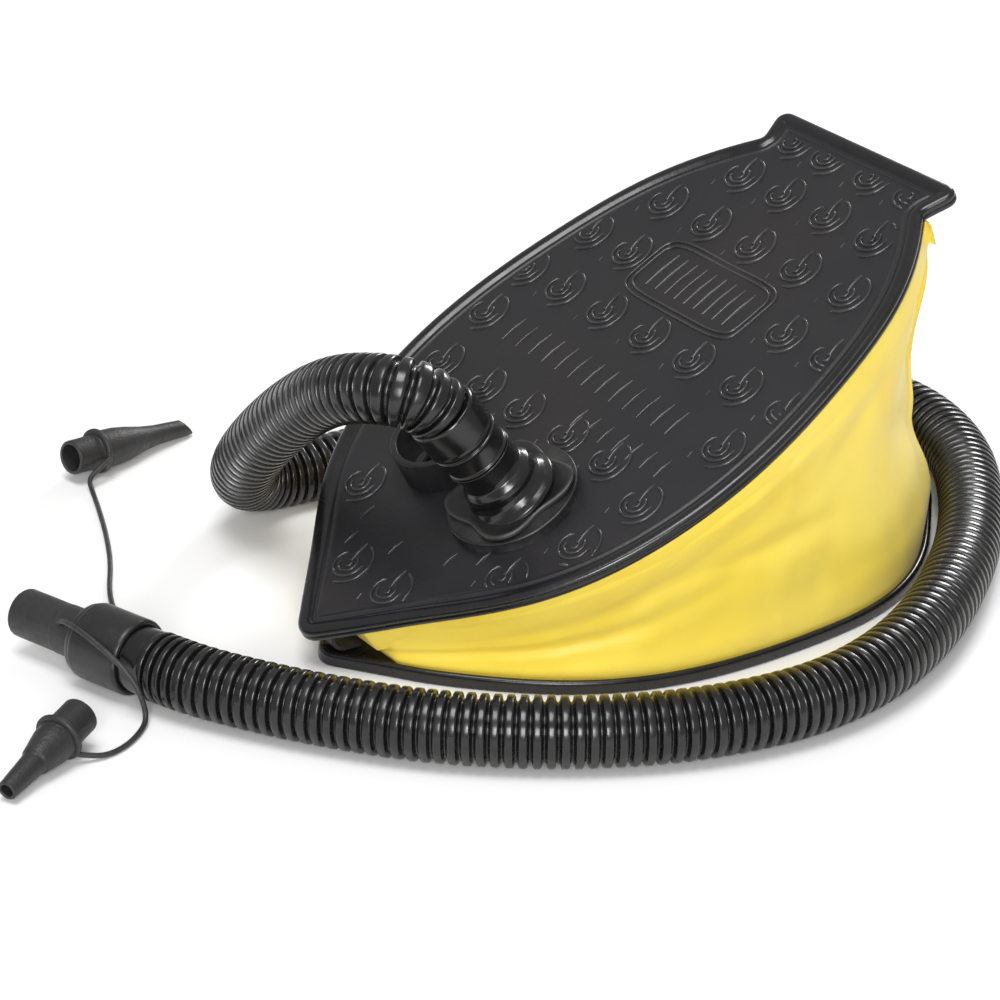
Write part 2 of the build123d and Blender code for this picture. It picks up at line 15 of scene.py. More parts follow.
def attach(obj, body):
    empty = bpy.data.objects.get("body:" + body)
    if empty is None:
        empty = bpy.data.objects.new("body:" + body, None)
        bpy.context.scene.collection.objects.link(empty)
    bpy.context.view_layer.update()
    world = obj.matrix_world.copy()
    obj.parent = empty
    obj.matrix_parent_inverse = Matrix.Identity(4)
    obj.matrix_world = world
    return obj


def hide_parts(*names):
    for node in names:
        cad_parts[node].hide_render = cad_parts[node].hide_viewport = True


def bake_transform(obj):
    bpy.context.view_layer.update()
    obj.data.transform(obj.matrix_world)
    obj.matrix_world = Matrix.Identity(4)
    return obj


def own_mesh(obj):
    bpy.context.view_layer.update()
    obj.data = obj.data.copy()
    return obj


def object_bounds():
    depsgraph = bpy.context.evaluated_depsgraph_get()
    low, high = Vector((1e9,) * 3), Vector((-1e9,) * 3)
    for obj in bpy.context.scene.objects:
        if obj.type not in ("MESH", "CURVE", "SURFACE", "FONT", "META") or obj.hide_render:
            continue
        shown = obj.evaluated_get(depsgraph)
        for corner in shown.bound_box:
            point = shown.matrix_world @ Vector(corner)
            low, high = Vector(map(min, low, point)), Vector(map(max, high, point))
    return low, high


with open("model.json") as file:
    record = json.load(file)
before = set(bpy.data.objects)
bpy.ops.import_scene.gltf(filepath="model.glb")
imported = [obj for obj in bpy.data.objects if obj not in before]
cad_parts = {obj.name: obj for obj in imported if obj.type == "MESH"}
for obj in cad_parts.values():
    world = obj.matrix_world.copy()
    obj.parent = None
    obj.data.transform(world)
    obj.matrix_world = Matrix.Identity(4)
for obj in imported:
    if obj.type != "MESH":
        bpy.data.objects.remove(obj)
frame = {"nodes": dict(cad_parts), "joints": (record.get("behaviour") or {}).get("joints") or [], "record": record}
CAD_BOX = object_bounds()

MM = 0.001
TINY = 1e-12                   # keeps a division off zero
SMOOTH = 180.0                 # a crease angle that keeps every edge smooth
CORNER_SHARE = 0.45            # the most of a side that one rounded corner takes
LOOK = 0.002                   # how far on and back a tube looks for its direction, in metres
LEVEL = 0.03                   # how far off its level a vertex of a wall may be, in millimetres
RING_MARGIN = 9                # points by which a loop's walk may be short or long
INSET_SLACK = 0.05             # how much nearer its loop an inset point may lie, in millimetres
LOG = logging.getLogger("pump")
JOINTS = {joint["name"]: joint for joint in frame["joints"]}
MOUNTS = {mount["name"]: mount for mount in frame["record"]["mounts"]}
Place = tuple[float, float]
Spot = tuple[float, float, float]
Profile = Sequence[Place]
Stroke = tuple[Profile, float]  # a raised line's places and its width


def mm(x: float, y: float, z: float) -> Vector:
    """A point given in millimetres."""
    return Vector((x, y, z)) * MM


# The routes of the hose and of the adapters' tethers, point by point.
HOSE_ROUTE = [mm(-87.1, -16.3, 88.1), mm(-93.5, -14.9, 96.9), mm(-103.6, -8, 101), mm(-109.4, 7, 97.8),
              mm(-110.3, 28, 87.5), mm(-109.5, 57, 66), mm(-106.9, 86, 39.5), mm(-98.5, 106, 19.5),
              mm(-82, 113, 12.25), mm(-55.5, 110.5, 12.25), mm(-29, 108, 12.25), mm(21, 106, 12.25),
              mm(71, 102, 12.25), mm(115, 89, 12.25), mm(146, 62, 12.25), mm(160.6, 27, 12.25),
              mm(152, -13, 12.25), mm(126, -51, 12.25), mm(90, -87, 12.25), mm(43, -119, 12.25),
              mm(-4.1, -134, 12.25), mm(-49.1, -129, 12.25), mm(-92.1, -110, 12.25),
              mm(-131.1, -80, 12.25), mm(-158.1, -47, 12.25), mm(-176.5, -19, 12.8),
              mm(-186.1, -2.5, 13.65), mm(-189.8, 8.9, 13.65)]
LONG_TETHER = [mm(-193.0, 43.1, 13.65), mm(-186.5, 45.5, 12.8), mm(-180.0, 51.0, 8.5),
               mm(-175.5, 60.0, 3.6), mm(-172.3, 71.0, 1.2), mm(-166.4, 86.0, 1.0),
               mm(-154.3, 106.2, 1.0), mm(-144.1, 128.6, 1.0), mm(-135.4, 151.0, 1.0),
               mm(-132.0, 161.0, 1.4), mm(-130.6, 166.4, 4.0), mm(-125.0, 166.6, 7.2),
               mm(-119.2, 168.9, 8.9)]
SHORT_TETHER = [mm(-207.4, 45.2, 19.4), mm(-210.4, 38.0, 24.7), mm(-208.7, 28.0, 24.5),
                mm(-207.0, 16.5, 22.6), mm(-204.6, 7.3, 19.2), mm(-202.4, 1.8, 14.2),
                mm(-201.0, -0.4, 8.2), mm(-200.4, -1.6, 3.4), mm(-202.6, -4.6, 1.2),
                mm(-208.5, -9.6, 1.0), mm(-215.5, -13.6, 1.0), mm(-222.5, -15.2, 1.1),
                mm(-228.4, -14.4, 2.2), mm(-233.2, -12.9, 3.9)]


# ---- shader helpers and the effects that several finishes share -------------------------
class Tree:
    """Adds nodes to a material's or a group's tree and links them."""

    def __init__(self, tree: bpy.types.NodeTree) -> None:
        """Keeps the tree to work on."""
        self.tree = tree

    def add(self, kind: str, **settings: object) -> bpy.types.Node:
        """Adds a node.

        Args:
            kind: The node's type, without the leading "ShaderNode" where it has one.
            settings: Attributes of the node; a name that isn't one is an input's name.

        Returns:
            The new node.
        """
        name = kind if kind.startswith("NodeGroup") else "ShaderNode" + kind
        node = self.tree.nodes.new(name)
        for key, value in settings.items():
            if hasattr(node, key):
                setattr(node, key, value)
            else:
                node.inputs[key.replace("_", " ")].default_value = value
        return node

    def link(self, source: bpy.types.NodeSocket, target: bpy.types.NodeSocket) -> None:
        """Joins an output to an input."""
        self.tree.links.new(source, target)

    def mix(self, low: object, high: object, mask: bpy.types.NodeSocket) -> bpy.types.NodeSocket:
        """Mixes two colours by a mask.

        Args:
            low: The colour, or a socket that gives it, where the mask is 0.
            high: The same where the mask is 1.
            mask: The mask's socket.

        Returns:
            The mixed colour's socket.
        """
        node = self.add("Mix", data_type="RGBA")
        colours = [s for s in node.inputs if s.type == "RGBA"]
        for socket, value in zip(colours, (low, high)):
            if isinstance(value, bpy.types.NodeSocket):
                self.link(value, socket)
            else:
                socket.default_value = (*value, 1)
        self.link(mask, node.inputs[0])
        return next(s for s in node.outputs if s.type == "RGBA")

    def remap(self, value: bpy.types.NodeSocket, low: float, high: float,
              to_low: float = 0.0, to_high: float = 1.0) -> bpy.types.NodeSocket:
        """Maps a value's range onto another one, held within it.

        Args:
            value: The socket to map.
            low: The value that becomes to_low.
            high: The value that becomes to_high.
            to_low: The lower result.
            to_high: The upper result.

        Returns:
            The mapped value's socket.
        """
        node = self.add("MapRange", From_Min=low, From_Max=high, To_Min=to_low, To_Max=to_high)
        self.link(value, node.inputs["Value"])
        return node.outputs["Result"]


class Effect(Enum):
    """The effects that more than one finish uses, each a node group."""

    MOTTLE = "Cloudy mottle"
    GRAIN = "Moulded grain"
    RUB = "Rubbed edges"


def group_inputs(group: bpy.types.NodeTree, inputs: dict[str, float], output: str) -> None:
    """Makes a group's sockets.

    Args:
        group: The group.
        inputs: The inputs' names and first values.
        output: The one output's name.
    """
    for name, value in inputs.items():
        socket = group.interface.new_socket(name=name, in_out="INPUT", socket_type="NodeSocketFloat")
        socket.default_value = value
    group.interface.new_socket(name=output, in_out="OUTPUT", socket_type="NodeSocketFloat")


def mottle_group() -> bpy.types.NodeTree:
    """Soft clouds from 0 to 1, for slow changes of colour or gloss.

    Returns:
        The group.
    """
    group = bpy.data.node_groups.new(Effect.MOTTLE.value, "ShaderNodeTree")
    group_inputs(group, {"Scale": 20.0, "Low": 0.35, "High": 0.65}, "Mask")
    tree = Tree(group)
    entry, leave = tree.add("NodeGroupInput"), tree.add("NodeGroupOutput")
    place = tree.add("TexCoord")
    cloud = tree.add("TexNoise", Detail=4.0, Roughness=0.55)
    spread = tree.add("MapRange")
    tree.link(place.outputs["Object"], cloud.inputs["Vector"])
    tree.link(entry.outputs["Scale"], cloud.inputs["Scale"])
    tree.link(cloud.outputs["Fac"], spread.inputs["Value"])
    tree.link(entry.outputs["Low"], spread.inputs["From Min"])
    tree.link(entry.outputs["High"], spread.inputs["From Max"])
    tree.link(spread.outputs["Result"], leave.inputs["Mask"])
    return group


def grain_group() -> bpy.types.NodeTree:
    """The height of a fine pebbled grain with a few deeper pores.

    Returns:
        The group.
    """
    group = bpy.data.node_groups.new(Effect.GRAIN.value, "ShaderNodeTree")
    group_inputs(group, {"Scale": 900.0, "Pores": 0.3}, "Height")
    tree = Tree(group)
    entry, leave = tree.add("NodeGroupInput"), tree.add("NodeGroupOutput")
    place = tree.add("TexCoord")
    pebbles = tree.add("TexVoronoi", feature="SMOOTH_F1", Smoothness=0.6)
    dust = tree.add("TexNoise", Detail=3.0)
    blend = tree.add("Mix", data_type="FLOAT")
    for texture in (pebbles, dust):
        tree.link(place.outputs["Object"], texture.inputs["Vector"])
        tree.link(entry.outputs["Scale"], texture.inputs["Scale"])
    tree.link(entry.outputs["Pores"], blend.inputs[0])
    tree.link(pebbles.outputs["Distance"], blend.inputs[2])
    tree.link(dust.outputs["Fac"], blend.inputs[3])
    tree.link(blend.outputs[0], leave.inputs["Height"])
    return group


def rub_group() -> bpy.types.NodeTree:
    """A mask of raised edges, broken up as handling wears them.

    Returns:
        The group.
    """
    group = bpy.data.node_groups.new(Effect.RUB.value, "ShaderNodeTree")
    group_inputs(group, {"Start": 0.52, "End": 0.60, "Scale": 60.0}, "Mask")
    tree = Tree(group)
    entry, leave = tree.add("NodeGroupInput"), tree.add("NodeGroupOutput")
    shape, place = tree.add("NewGeometry"), tree.add("TexCoord")
    breakup = tree.add("TexNoise", Detail=5.0, Roughness=0.6)
    edge = tree.add("MapRange")
    both = tree.add("Math", operation="MULTIPLY")
    tree.link(place.outputs["Object"], breakup.inputs["Vector"])
    tree.link(entry.outputs["Scale"], breakup.inputs["Scale"])
    tree.link(shape.outputs["Pointiness"], edge.inputs["Value"])
    tree.link(entry.outputs["Start"], edge.inputs["From Min"])
    tree.link(entry.outputs["End"], edge.inputs["From Max"])
    tree.link(edge.outputs["Result"], both.inputs[0])
    tree.link(tree.remap(breakup.outputs["Fac"], 0.35, 0.6), both.inputs[1])
    tree.link(both.outputs[0], leave.inputs["Mask"])
    return group


EFFECTS = {Effect.MOTTLE: mottle_group(), Effect.GRAIN: grain_group(), Effect.RUB: rub_group()}


def effect(tree: Tree, kind: Effect, **values: float) -> bpy.types.NodeSocket:
    """Places a shared effect in a material.

    Args:
        tree: The material's tree.
        kind: Which effect.
        values: The group's inputs by name.

    Returns:
        The effect's output socket.
    """
    node = tree.add("Group", node_tree=EFFECTS[kind])
    for name, value in values.items():
        node.inputs[name].default_value = value
    return node.outputs[0]


# ---- finishes --------------------------------------------------------------------------
Colour = tuple[float, float, float]


def fresh_material(name: str) -> tuple[bpy.types.Material, Tree, bpy.types.Node]:
    """Makes an empty material with a Principled shader.

    Args:
        name: The material's name.

    Returns:
        The material, its tree and the shader.
    """
    material = bpy.data.materials.new(name)
    material.use_nodes = True
    shader = next(n for n in material.node_tree.nodes if n.type == "BSDF_PRINCIPLED")
    return material, Tree(material.node_tree), shader


@dataclass(frozen=True)
class Moulded:
    """A moulded plastic or rubber: cloudy tint, fine grain, rubbed edges."""

    name: str
    colour: Colour
    tint: Colour
    edge: Colour
    gloss: tuple[float, float] = (0.35, 0.5)
    cloud: float = 14.0
    grain: float = 900.0
    relief: float = 0.1
    coat: float = 0.0
    specular: float = 0.5

    def build(self) -> bpy.types.Material:
        """Makes the material.

        Returns:
            The material.
        """
        material, tree, shader = fresh_material(self.name)
        clouds = effect(tree, Effect.MOTTLE, Scale=self.cloud, Low=0.38, High=0.64)
        rubbed = effect(tree, Effect.RUB)
        body = tree.mix(self.colour, self.tint, clouds)
        tree.link(tree.mix(body, self.edge, rubbed), shader.inputs["Base Color"])
        haze = effect(tree, Effect.MOTTLE, Scale=self.cloud * 6, Low=0.3, High=0.7)
        tree.link(tree.remap(haze, 0, 1, *self.gloss), shader.inputs["Roughness"])
        bump = tree.add("Bump", Strength=self.relief, Distance=0.0004)
        tree.link(effect(tree, Effect.GRAIN, Scale=self.grain, Pores=0.4), bump.inputs["Height"])
        tree.link(bump.outputs["Normal"], shader.inputs["Normal"])
        shader.inputs["Coat Weight"].default_value = self.coat
        shader.inputs["Coat Roughness"].default_value = 0.12
        shader.inputs["Specular IOR Level"].default_value = self.specular
        return material


@dataclass(frozen=True)
class CoatedCloth:
    """A vinyl sheet backed with cloth: even colour with soft clouds, a faint weave and wrinkles."""

    name: str
    colour: Colour
    pale: Colour
    deep: Colour
    weave: float = 250.0       # scale of the threads

    def build(self) -> bpy.types.Material:
        """Makes the material.

        Returns:
            The material.
        """
        material, tree, shader = fresh_material(self.name)
        clouds = effect(tree, Effect.MOTTLE, Scale=9.0, Low=0.35, High=0.7)
        stains = effect(tree, Effect.MOTTLE, Scale=26.0, Low=0.56, High=0.8)
        body = tree.mix(self.colour, self.pale, clouds)
        tree.link(tree.mix(body, self.deep, tree.remap(stains, 0, 1, 0, 0.45)), shader.inputs["Base Color"])
        place = tree.add("TexCoord")
        threads = tree.add("Math", operation="ADD")
        for direction, target in zip(("X", "Z"), threads.inputs):
            wave = tree.add("TexWave", bands_direction=direction, Scale=self.weave, Distortion=0.4)
            tree.link(place.outputs["Object"], wave.inputs["Vector"])
            tree.link(wave.outputs["Fac"], target)
        crinkle = tree.add("TexNoise", Scale=55.0, Detail=6.0, Roughness=0.55)
        tree.link(place.outputs["Object"], crinkle.inputs["Vector"])
        fine = tree.add("Bump", Strength=0.05, Distance=0.0002)
        broad = tree.add("Bump", Strength=0.16, Distance=0.0012)
        tree.link(threads.outputs[0], fine.inputs["Height"])
        tree.link(crinkle.outputs["Fac"], broad.inputs["Height"])
        tree.link(fine.outputs["Normal"], broad.inputs["Normal"])
        tree.link(broad.outputs["Normal"], shader.inputs["Normal"])
        haze = effect(tree, Effect.MOTTLE, Scale=70.0, Low=0.3, High=0.7)
        tree.link(tree.remap(haze, 0, 1, 0.4, 0.52), shader.inputs["Roughness"])
        shader.inputs["Specular IOR Level"].default_value = 0.4
        shader.inputs["Sheen Weight"].default_value = 0.1
        return material


@dataclass(frozen=True)
class DrawnWire:
    """Spring steel drawn through a die, with a thin film of oil."""

    name: str
    colour: Colour
    oiled: float = 0.6         # share of the colour that is left under the oil

    def build(self) -> bpy.types.Material:
        """Makes the material.

        Returns:
            The material.
        """
        material, tree, shader = fresh_material(self.name)
        oil = effect(tree, Effect.MOTTLE, Scale=90.0, Low=0.4, High=0.6)
        darker = tuple(self.oiled * part for part in self.colour)
        tree.link(tree.mix(self.colour, darker, oil), shader.inputs["Base Color"])
        tree.link(tree.remap(oil, 0, 1, 0.22, 0.4), shader.inputs["Roughness"])
        shader.inputs["Metallic"].default_value = 1.0
        return material


class Finish(Enum):
    """Every finish on the pump."""

    TREAD = Moulded("Tread plastic", (0.014, 0.0135, 0.0155), (0.020, 0.0175, 0.0185), (0.05, 0.048, 0.05),
                    (0.34, 0.46), 11.0, 700.0, 0.16, 0.0, 0.42)
    RELIEF = Moulded("Tread relief", (0.017, 0.0165, 0.0185), (0.024, 0.0215, 0.0225), (0.07, 0.068, 0.07),
                     (0.2, 0.3), 11.0, 700.0, 0.06, 0.1, 0.6)
    RIM = Moulded("Base plastic", (0.005, 0.005, 0.006), (0.009, 0.0085, 0.010), (0.03, 0.029, 0.03),
                  (0.2, 0.34), 16.0, 800.0, 0.08, 0.1)
    HOSE = Moulded("Hose vinyl", (0.0035, 0.0035, 0.004), (0.007, 0.0065, 0.0065), (0.02, 0.018, 0.017),
                   (0.2, 0.34), 30.0, 500.0, 0.10, 0.15)
    CUFF = Moulded("Cuff vinyl", (0.004, 0.004, 0.0045), (0.008, 0.0075, 0.0075), (0.022, 0.021, 0.02),
                   (0.16, 0.28), 30.0, 500.0, 0.06, 0.2)
    FLANGE = Moulded("Flange plastic", (0.008, 0.0085, 0.008), (0.013, 0.0135, 0.012), (0.09, 0.09, 0.09),
                     (0.36, 0.5), 40.0, 900.0, 0.12)
    PORT = Moulded("Port plastic", (0.008, 0.008, 0.009), (0.014, 0.0135, 0.0135), (0.05, 0.048, 0.047),
                   (0.28, 0.42), 40.0, 900.0, 0.1)
    COLLAR = Moulded("Collar plastic", (0.010, 0.0095, 0.0105), (0.017, 0.016, 0.016), (0.06, 0.057, 0.055),
                     (0.3, 0.45), 50.0, 700.0, 0.2)
    NOZZLE = Moulded("Nozzle plastic", (0.012, 0.0115, 0.0125), (0.022, 0.021, 0.021), (0.08, 0.076, 0.074),
                     (0.42, 0.6), 60.0, 1100.0, 0.5)
    RUBBER = Moulded("Valve rubber", (0.008, 0.008, 0.008), (0.013, 0.0125, 0.0125), (0.03, 0.03, 0.03),
                     (0.5, 0.65), 60.0, 900.0, 0.2)
    BELLOWS = CoatedCloth("Bellows vinyl", (0.90, 0.67, 0.055), (0.93, 0.74, 0.12), (0.84, 0.50, 0.02))
    STEEL = DrawnWire("Spring steel", (0.55, 0.55, 0.56))


MATERIALS = {finish: finish.value.build() for finish in Finish}


def dress(obj: bpy.types.Object, finish: Finish) -> bpy.types.Object:
    """Gives a piece its finish.

    Args:
        obj: The piece.
        finish: Its finish.

    Returns:
        The piece.
    """
    obj.data.materials.clear()
    obj.data.materials.append(MATERIALS[finish])
    return obj


# ---- mesh helpers ----------------------------------------------------------------------
def make_piece(name: str, points: Sequence[Vector], faces: Sequence[Sequence[int]],
               crease: float = 38.0) -> bpy.types.Object:
    """Makes a mesh object with smooth faces and sharp creases.

    Args:
        name: The piece's name.
        points: Its vertices, in the row frame.
        faces: Its faces.
        crease: The angle in degrees over which an edge stays sharp.

    Returns:
        The object.
    """
    mesh = bpy.data.meshes.new(name)
    mesh.from_pydata([tuple(p) for p in points], [], faces)
    mesh.validate()
    mesh.polygons.foreach_set("use_smooth", [True] * len(mesh.polygons))
    mesh.set_sharp_from_angle(angle=math.radians(crease))
    obj = bpy.data.objects.new(name, mesh)
    bpy.context.scene.collection.objects.link(obj)
    LOG.info("%s: %d points, %d faces", name, len(mesh.vertices), len(mesh.polygons))
    return obj


def grid_faces(rows: int, columns: int, closed_rows: bool = False) -> list[tuple[int, ...]]:
    """The quads of a grid whose columns run round in a loop.

    Args:
        rows: How many rings.
        columns: Points in each ring.
        closed_rows: Whether the last ring joins the first.

    Returns:
        The faces.
    """
    faces = []
    for row in range(rows if closed_rows else rows - 1):
        below, above = row * columns, (row + 1) % rows * columns
        for k in range(columns):
            after = (k + 1) % columns
            faces.append((below + k, below + after, above + after, above + k))
    return faces


def circle_steps(count: int) -> list[Place]:
    """The cosine and sine of evenly spaced turns, once round."""
    return [(math.cos(a), math.sin(a)) for a in (2 * math.pi * k / count for k in range(count))]


def side_vectors(axis: Vector) -> tuple[Vector, Vector]:
    """Two directions square to an axis, the second as near upright as can be."""
    first = Vector((0, 0, 1)).cross(axis).normalized()
    return first, axis.cross(first).normalized()


def eased(corners: Profile, radius: float, steps: int = 4) -> list[Place]:
    """Rounds every corner of a closed outline.

    Args:
        corners: The outline's corners.
        radius: How far the rounding reaches along each side.
        steps: Straight pieces in each rounded corner.

    Returns:
        The rounded outline.
    """
    result = []
    for before, corner, after in zip([corners[-1], *corners[:-1]], corners, [*corners[1:], corners[0]]):
        here = np.array(corner)
        arms = [np.array(side) - here for side in (before, after)]
        ends = [here + arm * min(CORNER_SHARE, radius / max(np.linalg.norm(arm), TINY)) for arm in arms]
        for k in range(steps + 1):
            t = k / steps
            spot = ends[0] * (1 - t) ** 2 + here * 2 * t * (1 - t) + ends[1] * t ** 2
            result.append((float(spot[0]), float(spot[1])))
    return result


@dataclass
class Turned:
    """A turned piece: a closed outline spun about an axis."""

    name: str
    origin: Vector
    axis: Vector
    corners: Profile
    ease: float = 0.4
    segments: int = 72

    def build(self) -> bpy.types.Object:
        """Makes the piece; the outline's corners are (radius, distance along the axis) in millimetres.

        Returns:
            The piece.
        """
        outline = eased(self.corners, self.ease)
        first, second = side_vectors(self.axis)
        points = []
        for radius, along in outline:
            for cosine, sine in circle_steps(self.segments):
                out = first * cosine + second * sine
                points.append(self.origin + (self.axis * along + out * radius) * MM)
        return make_piece(self.name, points, grid_faces(len(outline), self.segments, True))


def smooth_line(route: Sequence[Vector], per_run: int = 24) -> np.ndarray:
    """Reads the points of the smooth curve that a route controls.

    Args:
        route: The control points.
        per_run: Points for each run of the route.

    Returns:
        The curve's points, one row each.
    """
    curve = bpy.data.curves.new("route", "CURVE")
    curve.dimensions = "3D"
    curve.resolution_u = per_run
    spline = curve.splines.new("NURBS")
    spline.points.add(len(route) - 1)
    for point, place in zip(spline.points, route):
        point.co = (*place, 1)
    spline.order_u = 3
    spline.use_endpoint_u = True
    holder = bpy.data.objects.new("route", curve)
    mesh = bpy.data.meshes.new_from_object(holder)
    line = np.array([v.co for v in mesh.vertices], float)
    bpy.data.objects.remove(holder)
    bpy.data.meshes.remove(mesh)
    return line


def at_lengths(line: np.ndarray, lengths: np.ndarray) -> np.ndarray:
    """The points of a line at given lengths along it.

    Args:
        line: The line's points.
        lengths: The wanted lengths.

    Returns:
        One point a length, one row each.
    """
    steps = np.linalg.norm(np.diff(line, axis=0), axis=1)
    along = np.concatenate([[0], np.cumsum(steps)])
    return np.stack([np.interp(lengths, along, line[:, k]) for k in range(3)], axis=1)


def line_length(line: np.ndarray) -> float:
    """A line's whole length."""
    return float(np.linalg.norm(np.diff(line, axis=0), axis=1).sum())


def tube_rings(line: np.ndarray, lengths: np.ndarray, radii: np.ndarray, segments: int) -> list[Vector]:
    """Rings round a line that don't twist.

    Args:
        line: The line's points.
        lengths: Where each ring stands along it.
        radii: Each ring's radius.
        segments: Points in a ring.

    Returns:
        The rings' points in order.
    """
    reach = line_length(line)
    centres = at_lengths(line, lengths)
    ahead = at_lengths(line, np.clip(lengths + LOOK, 0, reach))
    behind = at_lengths(line, np.clip(lengths - LOOK, 0, reach))
    points = []
    side = None
    for centre, direction, radius in zip(centres, ahead - behind, radii):
        axis = Vector(direction).normalized()
        side = side_vectors(axis)[0] if side is None else (side - axis * side.dot(axis)).normalized()
        other = axis.cross(side)
        for cosine, sine in circle_steps(segments):
            points.append(Vector(centre) + (side * cosine + other * sine) * float(radius))
    return points


# ---- the upper plate's own frame -------------------------------------------------------
class Deck:
    """The upper plate's frame: distance from the hinge, across it, and over its underside, in millimetres."""

    def __init__(self) -> None:
        """Reads the hinge, the plate's normal and its underside from the frame."""
        self.hinge = Vector(JOINTS["plate_hinge"]["pos_m"])
        self.up = Vector(JOINTS["inlet_valve_lift"]["axis"]).normalized()
        self.along = Vector((self.up.z, 0, -self.up.x))
        self.across = Vector((0, 1, 0))
        plate = frame["nodes"]["top_plate"].data.vertices
        self.lift = min((v.co - self.hinge).dot(self.up) for v in plate)

    def point(self, x: float, y: float, z: float) -> Vector:
        """The row frame's point at a place of the plate."""
        return self.hinge + self.along * (x * MM) + self.across * (y * MM) + self.up * (self.lift + z * MM)

    def place(self, point: Vector) -> Spot:
        """A point's place in the plate's frame.

        Args:
            point: The row frame's point.

        Returns:
            The distance from the hinge, across the plate and over its underside.
        """
        away = point - self.hinge
        height = (away.dot(self.up) - self.lift) / MM
        return away.dot(self.along) / MM, point.y / MM, height


DECK = Deck()
PORT_X = DECK.place(Vector(MOUNTS["inlet_port"]["pos_m"]))[0]
PORT_Y = abs(MOUNTS["inlet_port"]["pos_m"][1]) / MM


# ---- studio ----------------------------------------------------------------------------
@dataclass(frozen=True)
class Lamp:
    """A square soft light that points at the pump."""

    name: str
    place: Spot                # in metres
    size: float                # its side in metres
    power: float               # in watts

    def build(self, target: Vector) -> None:
        """Adds the light.

        Args:
            target: What it points at.
        """
        data = bpy.data.lights.new(self.name, "AREA")
        data.size, data.energy = self.size, self.power
        lamp = bpy.data.objects.new(self.name, data)
        lamp.location = self.place
        lamp.rotation_mode = "QUATERNION"
        lamp.rotation_quaternion = (target - Vector(self.place)).to_track_quat("-Z", "Y")
        bpy.context.scene.collection.objects.link(lamp)


@dataclass
class Studio:
    """The camera, the pale floor and the soft lights."""

    place: Vector = field(default_factory=lambda: mm(-688.1, -912, 596))
    heading: float = 55.2      # degrees from +X
    dip: float = 26.5
    roll: float = 0.3
    lens: float = 126.1
    floor_size: float = 12.0
    floor_drop: float = 0.0002  # under the pump, in metres
    floor_tints: tuple[Colour, Colour] = ((0.86, 0.86, 0.86), (0.88, 0.88, 0.88))
    glow: float = 0.42         # strength of the even light from all round
    lamps: Sequence[Lamp] = (Lamp("overhead", (-0.5, -0.3, 2.0), 0.9, 24.0),
                             Lamp("front", (-1.3, -1.7, 1.1), 0.8, 34.0),
                             Lamp("tail", (1.5, 0.9, 0.9), 0.5, 15.0))

    def camera(self) -> None:
        """Makes the scene's camera."""
        h, d, r = (math.radians(angle) for angle in (self.heading, self.dip, self.roll))
        forward = Vector((math.cos(d) * math.cos(h), math.cos(d) * math.sin(h), -math.sin(d)))
        right = Vector((math.sin(h), -math.cos(h), 0))
        up = right.cross(forward)
        right, up = right * math.cos(r) + up * math.sin(r), up * math.cos(r) - right * math.sin(r)
        data = bpy.data.cameras.new("camera")
        data.lens, data.sensor_width = self.lens, 36.0
        data.clip_start, data.clip_end = 0.05, 50.0
        camera = bpy.data.objects.new("camera", data)
        turn = Matrix((right, up, -forward)).transposed().to_4x4()
        camera.matrix_world = Matrix.Translation(self.place) @ turn
        bpy.context.scene.collection.objects.link(camera)
        bpy.context.scene.camera = camera

    def floor(self) -> None:
        """Makes the floor."""
        half = self.floor_size / 2
        corners = [(-half, -half), (half, -half), (half, half), (-half, half)]
        floor = make_piece("floor", [Vector((x, y, -self.floor_drop)) for x, y in corners], [(0, 1, 2, 3)])
        material, tree, shader = fresh_material("Floor paper")
        cloud = effect(tree, Effect.MOTTLE, Scale=2.0, Low=0.2, High=0.8)
        tree.link(tree.mix(*self.floor_tints, cloud), shader.inputs["Base Color"])
        shader.inputs["Roughness"].default_value = 0.9
        shader.inputs["Specular IOR Level"].default_value = 0.15
        floor.data.materials.append(material)

    def build(self) -> None:
        """Makes the whole studio."""
        self.camera()
        self.floor()
        world = bpy.data.worlds.new("studio")
        world.use_nodes = True
        backdrop = world.node_tree.nodes["Background"]
        backdrop.inputs["Color"].default_value = (1, 1, 1, 1)
        backdrop.inputs["Strength"].default_value = self.glow
        bpy.context.scene.world = world
        bpy.context.scene.view_settings.view_transform = "Standard"
        for lamp in self.lamps:
            lamp.build((CAD_BOX[0] + CAD_BOX[1]) / 2)


